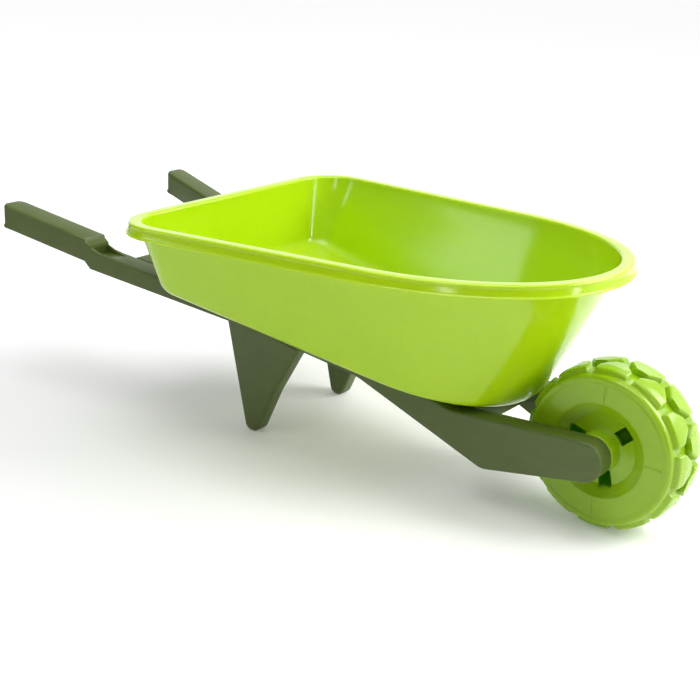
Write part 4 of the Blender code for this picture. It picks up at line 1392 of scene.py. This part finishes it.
@dataclass
class Screws:
    """Every screw of the chassis: a pan head with a cross recess on a plain shank."""

    lines: Lines
    finishes: Finishes
    scatter: Scatter
    radius: float = 0.0017
    head_radius: float = 0.0038
    head_height: float = 0.0020
    length: float = 0.0100
    recess_half: float = 0.00042
    recess_depth: float = 0.0009

    def item(self) -> bpy.types.Object:
        """One screw, its head up along +Z and its seat at the origin."""
        gap, head, tall = self.lines.gap, self.head_radius, self.head_height
        dome = ((0.02, 1.0), (0.40, 0.99), (0.66, 0.92), (0.84, 0.74), (0.95, 0.48), (1.0, 0.15))
        profile = [(head * r, tall * h) for r, h in dome] + [(0.97 * head, gap), (self.radius, gap)]
        profile += [(self.radius, -0.8 * self.length), (0.3 * self.radius, -self.length)]
        screw = make_object("screw", loft([circle(r, z, 32) for r, z in profile]), None, 35.0)
        arm, half, top = 0.62 * head, self.recess_half, tall + 0.0005
        low = top - 0.0005 - self.recess_depth
        for bar in (
            box_shell((-arm, -half, low), (arm, half, top)),
            box_shell((-half, -arm, low + 0.00001), (half, arm, top + 0.0001)),
        ):
            cut(screw, joined("recess", [bar]), 35.0)
        return screw

    def seats(self) -> list[tuple[Point, Point, float, Point]]:
        """Place, axis, spin and size of each screw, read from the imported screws."""
        normal = Vector((self.lines.deck_slope, 0.0, 1.0)).normalized()
        rows = []
        for name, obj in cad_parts.items():
            if "screw" not in name:
                continue
            points = np.array([tuple(v.co) for v in obj.data.vertices])
            axis = normal if name.startswith("tray_screw") else self._side_axis(points)
            along = points @ np.array(axis)
            middle = points[along > along.max() - 0.0001].mean(axis=0)
            seat = Vector(middle) - axis * self.head_height
            rows.append((tuple(seat), tuple(axis), 0.7 + 1.9 * len(rows), (1.0, 1.0, 1.0)))
        return rows

    @staticmethod
    def _side_axis(points: np.ndarray) -> Vector:
        """The direction from a side screw's tip to its head, both found from how wide its ends are."""
        spread = points - points.mean(axis=0)
        axis = np.linalg.svd(spread, full_matrices=False)[2][0]
        along = spread @ axis
        high, low = spread[along > np.percentile(along, 80)], spread[along < np.percentile(along, 20)]

        def width(part: np.ndarray) -> float:
            """How far an end reaches from its own middle, across the axis."""
            across = part - np.outer(part @ axis, axis)
            return np.linalg.norm(across - across.mean(axis=0), axis=1).max()

        return Vector(axis if width(high) > width(low) else -axis)

    def build(self) -> bpy.types.Object:
        """Makes all the screws as one piece.

        Returns:
            The finished piece.
        """
        screws = self.scatter.place("screw_set", self.item(), self.seats(), self.finishes.zinc)
        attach(screws, Body.CHASSIS.value)
        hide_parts(*[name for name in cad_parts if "screw" in name])
        return screws


# --- Wheel ---


@dataclass
class WheelHalf:
    """One moulded half of the wheel: lugged tread, beaded shoulder, dished side with slots, and a hub."""

    lines: Lines
    finishes: Finishes
    scatter: Scatter
    tread: TreadTree
    side: Side
    radius: float = 0.0785
    half_width: float = 0.0285
    depth: float = 0.0062
    crown_drop: float = 0.0013
    foot_y: float = 0.0222
    taper_y: float = 0.0110
    lugs: int = 12
    fill: float = 0.86
    nose: float = 0.45
    edge: float = 0.0032
    dish_radius: float = 0.0430
    dish_depth: float = 0.0080
    dish_slope: float = 0.0090
    hub_radius: float = 0.0190
    hub_end: float = 0.0368
    bore: float = 0.0043
    wall: float = 0.0025
    slots: int = 3
    slot_angle: float = 43.0
    slot_width: float = 0.0138
    slot_inner: float = 0.0198
    mould_line_middle: float = 0.0548
    mould_line_size: Point = (0.00035, 0.00035, 0.0172)
    around: int = 720

    def profile(self) -> list[tuple[float, float]]:
        """(y, radius) points round the half wheel's section."""
        base, half, wall = self.radius - self.depth, self.half_width, self.wall
        floor_y, floor_r = half - self.dish_depth, self.dish_radius - self.dish_slope
        gap = self.lines.gap / 2
        points = [(gap, base - 0.0010), (gap, base)]
        points += [(y, base) for y in np.linspace(0.0009, 0.0190, 22)]
        points += [(y, base) for y in np.linspace(0.0193, 0.0226, 12)]
        points += [(0.0232, base - 0.0001), (0.0240, base - 0.0002)]
        points += arc((half - 0.0042, base - 0.0047), 0.0042, 82, 8, 9)
        points += [(half - 0.0004, base - 0.0060), (half - 0.0009, base - 0.0074), (half - 0.0013, base - 0.0092)]
        points += [(half - 0.0015, base - 0.0115), (half - 0.0015, 0.056), (half - 0.0013, 0.051)]
        points += [(half - 0.0011, 0.0478)]
        lean = math.degrees(math.atan2(self.dish_depth, self.dish_slope))
        points += arc((half - 0.0046, self.dish_radius + 0.0032), 0.0035, 0, -lean, 7)
        start, foot = points[-1], arc((floor_y + 0.0030, floor_r - 0.0012), 0.0030, 180 - lean, 180, 7)
        points += [(mix(start[0], foot[0][0], t), mix(start[1], foot[0][1], t)) for t in (0.3, 0.7)]
        points += [*foot, (floor_y, 0.0270), (floor_y, self.hub_radius + 0.0014)]
        points += [(floor_y + 0.0005, self.hub_radius + 0.0004), (floor_y + 0.0016, self.hub_radius)]
        points += [(self.hub_end - 0.0022, self.hub_radius - 0.0003)]
        points += arc((self.hub_end - 0.0020, self.hub_radius - 0.0023), 0.0020, 78, 0, 6)
        points += [(self.hub_end, 0.0100), (self.hub_end, self.bore + 0.0004), (self.hub_end - 0.0004, self.bore)]
        points += [(gap, self.bore), (gap, self.bore + 2 * wall), (floor_y - wall, self.bore + 2 * wall + 0.001)]
        inside = half - 0.0007 - wall
        points += [(floor_y - wall, floor_r + 0.5 * wall), (inside, self.dish_radius + wall), (inside, base - 0.0080)]
        return points + [(0.0226, base - 0.0032), (0.0195, base - wall), (gap, base - wall)]

    def slot_shells(self) -> list[bmesh.types.BMesh]:
        """The radial slots through the dish floor."""
        outer = self.dish_radius - self.dish_slope + 0.0012
        y = self.side.value * (self.half_width - self.dish_depth - self.wall / 2)
        reach = 1.2 * self.wall
        shells = []
        for i in range(self.slots):
            angle = math.radians(self.slot_angle) + i * TURN / self.slots
            move = Matrix.Translation((self.lines.axle_x, 0.0, self.lines.axle_z)) @ Matrix.Rotation(-angle, 4, "Y")
            half = self.slot_width / 2
            shells.append(box_shell((self.slot_inner, y - reach, -half), (outer, y + reach, half), 0.0007, move))
        return shells

    def mould_lines(self) -> bpy.types.Object:
        """Four faint raised mould lines on the flat side."""
        rows, middle = [], self.mould_line_middle
        y = self.side.value * (self.half_width - 0.0007)
        for i in range(4):
            ahead, up = math.cos(i * TURN / 4), math.sin(i * TURN / 4)
            place = (self.lines.axle_x + middle * ahead, y, self.lines.axle_z + middle * up)
            rows.append((place, (ahead, 0.0, up), 0.0, self.mould_line_size))
        return self.scatter.place("mould_lines", unit_box("mould_line", 0.06), rows, self.finishes.wheel_lime)

    def build(self) -> bpy.types.Object:
        """Makes the half wheel.

        Returns:
            The finished piece.
        """
        lines, pitch = self.lines, TURN / self.lugs
        first = -math.pi / 2 + (0.0 if self.side is Side.RIGHT else pitch / 2)
        turns = [(math.cos(TURN * i / self.around), math.sin(TURN * i / self.around)) for i in range(self.around)]
        rings = []
        for across, r in self.profile():
            y = self.side.value * across
            rings.append([(lines.axle_x + r * ahead, y, lines.axle_z + r * up) for ahead, up in turns])
        half = make_object(f"{self.side.label}_wheel_moulding", loft(rings, wrap=True), self.finishes.wheel_lime)
        cut(half, joined("slots", self.slot_shells()), 50.0)
        values = {
            "Axle X": lines.axle_x,
            "Axle Z": lines.axle_z,
            "Radius": self.radius,
            "Depth": self.depth,
            "Pitch": pitch,
            "First": first,
            "Half Width": 0.5 * self.fill * pitch * self.radius,
            "Nose": self.nose,
            "Taper Y": self.taper_y,
            "Foot Y": self.foot_y,
            "Crown Drop": self.crown_drop,
            "Edge": self.edge,
            "Material": self.finishes.wheel_lime,
        }
        self.tread.run(half, values, 88.0)
        fuse(half, [self.mould_lines()])
        shade(half.data, 88.0)
        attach(half, Body.WHEEL.value)
        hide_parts(f"wheel_half_{self.side.label}")
        return half


# --- Studio ---


@dataclass
class Studio:
    """Pale floor, soft lights and the camera."""

    eye: Point = (0.785842, -1.014973, 0.561478)
    ahead: Point = (-0.572359, 0.742978, -0.346971)
    right: Point = (0.781607, 0.622276, 0.043166)
    up: Point = (-0.247983, 0.246489, 0.936882)
    focal: float = 1298.28
    frame_width: float = 700.0
    dim: float = 0.10
    backdrop: float = 1.30
    ceiling: float = 0.55

    def build(self) -> None:
        """Makes the floor, the lights and the camera."""
        self._floor()
        self._world()
        self._lights()
        self._camera()

    def _floor(self) -> None:
        """Lays a large pale floor just under the wheel and feet."""
        bm = bmesh.new()
        bmesh.ops.create_grid(bm, x_segments=4, y_segments=4, size=14.0)
        bmesh.ops.translate(bm, vec=(0.0, 0.0, -0.0004), verts=bm.verts)
        floor = make_object("studio_floor", bm, PaleFloor("pale_floor", (0.86, 0.86, 0.86), 0.75).build())
        floor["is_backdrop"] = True

    def _world(self) -> None:
        """Surrounds the scene with a lit backdrop, a soft ceiling and a dim side behind the camera."""
        world = bpy.data.worlds.new("studio")
        bpy.context.scene.world = world
        world.use_nodes = True
        tree = Tree(world.node_tree)
        way = tree.node("ShaderNodeTexCoord", None, None, "Generated")
        split = tree.node("ShaderNodeSeparateXYZ", None, {0: way}).socket.node
        back, up = Sock(tree, split.outputs[1]), Sock(tree, split.outputs[2])
        drop = back.step(0.10, 0.45) * (1 - up.step(0.30, 0.60))
        ceiling = up.step(0.50, 0.95)
        strength = self.dim + self.backdrop * drop + self.ceiling * ceiling
        background = world.node_tree.nodes["Background"]
        tree.feed(background.inputs["Strength"], strength)
        background.inputs["Color"].default_value = (1.0, 1.0, 1.0, 1.0)

    def _lights(self) -> None:
        """Hangs the soft boxes."""
        for panel in (
            ("key_box", (1.45, 1.00, 1.40), (0.1, 0.0, 0.12), 1.3, 1.2, 41.0),
            ("front_strip", (2.0, 0.12, 0.62), (0.0, 0.05, 0.18), 0.14, 0.75, 4.5),
            ("side_box", (-1.0025, -1.155, 0.66), (-0.1675, -0.605, 0.62), 0.32, 0.60, 1.8),
            ("corner_strip", (0.55, -1.75, 0.60), (0.0, 0.1, 0.2), 0.22, 0.60, 2.2),
            ("high_fill", (0.3, -1.35, 2.1), (0.0, 0.1, 0.15), 1.2, 1.2, 5.5),
            ("back_box", (-0.25, 1.9, 1.45), (0.1, 0.0, 0.15), 1.2, 0.6, 6.5),
            ("top_box", (0.10, -0.22, 1.50), (0.10, -0.12, 0.10), 1.3, 0.8, 9.5),
        ):
            self._panel(*panel)

    def _panel(self, name: str, place: Point, target: Point, width: float, height: float, power: float) -> None:
        """Adds one rectangular light aimed at a point."""
        data = bpy.data.lights.new(name, "AREA")
        data.shape = "RECTANGLE"
        data.size, data.size_y, data.energy = width, height, power
        obj = bpy.data.objects.new(name, data)
        bpy.context.scene.collection.objects.link(obj)
        way = (Vector(target) - Vector(place)).normalized()
        obj.matrix_world = Matrix.Translation(place) @ way.to_track_quat("-Z", "Y").to_matrix().to_4x4()

    def _camera(self) -> None:
        """Sets the camera."""
        data = bpy.data.cameras.new("studio_camera")
        data.sensor_width = 36.0
        data.lens = self.focal * 36.0 / self.frame_width
        data.clip_start = 0.01
        camera = bpy.data.objects.new("studio_camera", data)
        bpy.context.scene.collection.objects.link(camera)
        turn = Matrix((self.right, self.up, tuple(-c for c in self.ahead))).transposed()
        camera.matrix_world = Matrix.Translation(self.eye) @ turn.to_4x4()
        bpy.context.scene.camera = camera


def main() -> None:
    """Builds every piece in order."""
    logging.basicConfig(level=logging.INFO, format="%(name)s: %(message)s")
    packed = [list(corner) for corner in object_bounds()]
    bpy.context.scene.view_settings.view_transform = "Standard"
    lines, finishes = Lines(), Finishes()
    scatter, tread = Scatter(), TreadTree()
    makers: list[Any] = [Tray(lines, finishes)]
    for side in Side:
        makers += [Shaft(lines, finishes, scatter, side), Leg(lines, finishes, side)]
        makers.append(WheelHalf(lines, finishes, scatter, tread, side))
    for node, rear_x, front_x, depth, floor_z, screw in (
        ("rear_crossplate", -0.2280, -0.1012, 0.0160, None, (-0.12656, 0.0419)),
        ("front_crossbar", 0.1446, 0.1898, 0.0, 0.0677, (0.1672, 0.0205)),
    ):
        makers.append(CrossMember(lines, finishes, scatter, node, rear_x, front_x, depth, floor_z, screw))
    makers.append(Screws(lines, finishes, scatter))
    for maker in makers:
        piece = maker.build()
        LOG.info("%s: %d faces", piece.name, len(piece.data.polygons))
    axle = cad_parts["axle"]
    for slot in axle.material_slots:
        slot.material = finishes.rod
    Studio().build()
    shown = [list(corner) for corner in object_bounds()]
    boxes = {"cad": packed, "visual": shown}
    {key: [[float(v) for v in corner] for corner in box] for key, box in boxes.items()}
    LOG.info("packed box %s, visual box %s", packed, shown)


if __name__ == "__main__":
    main()
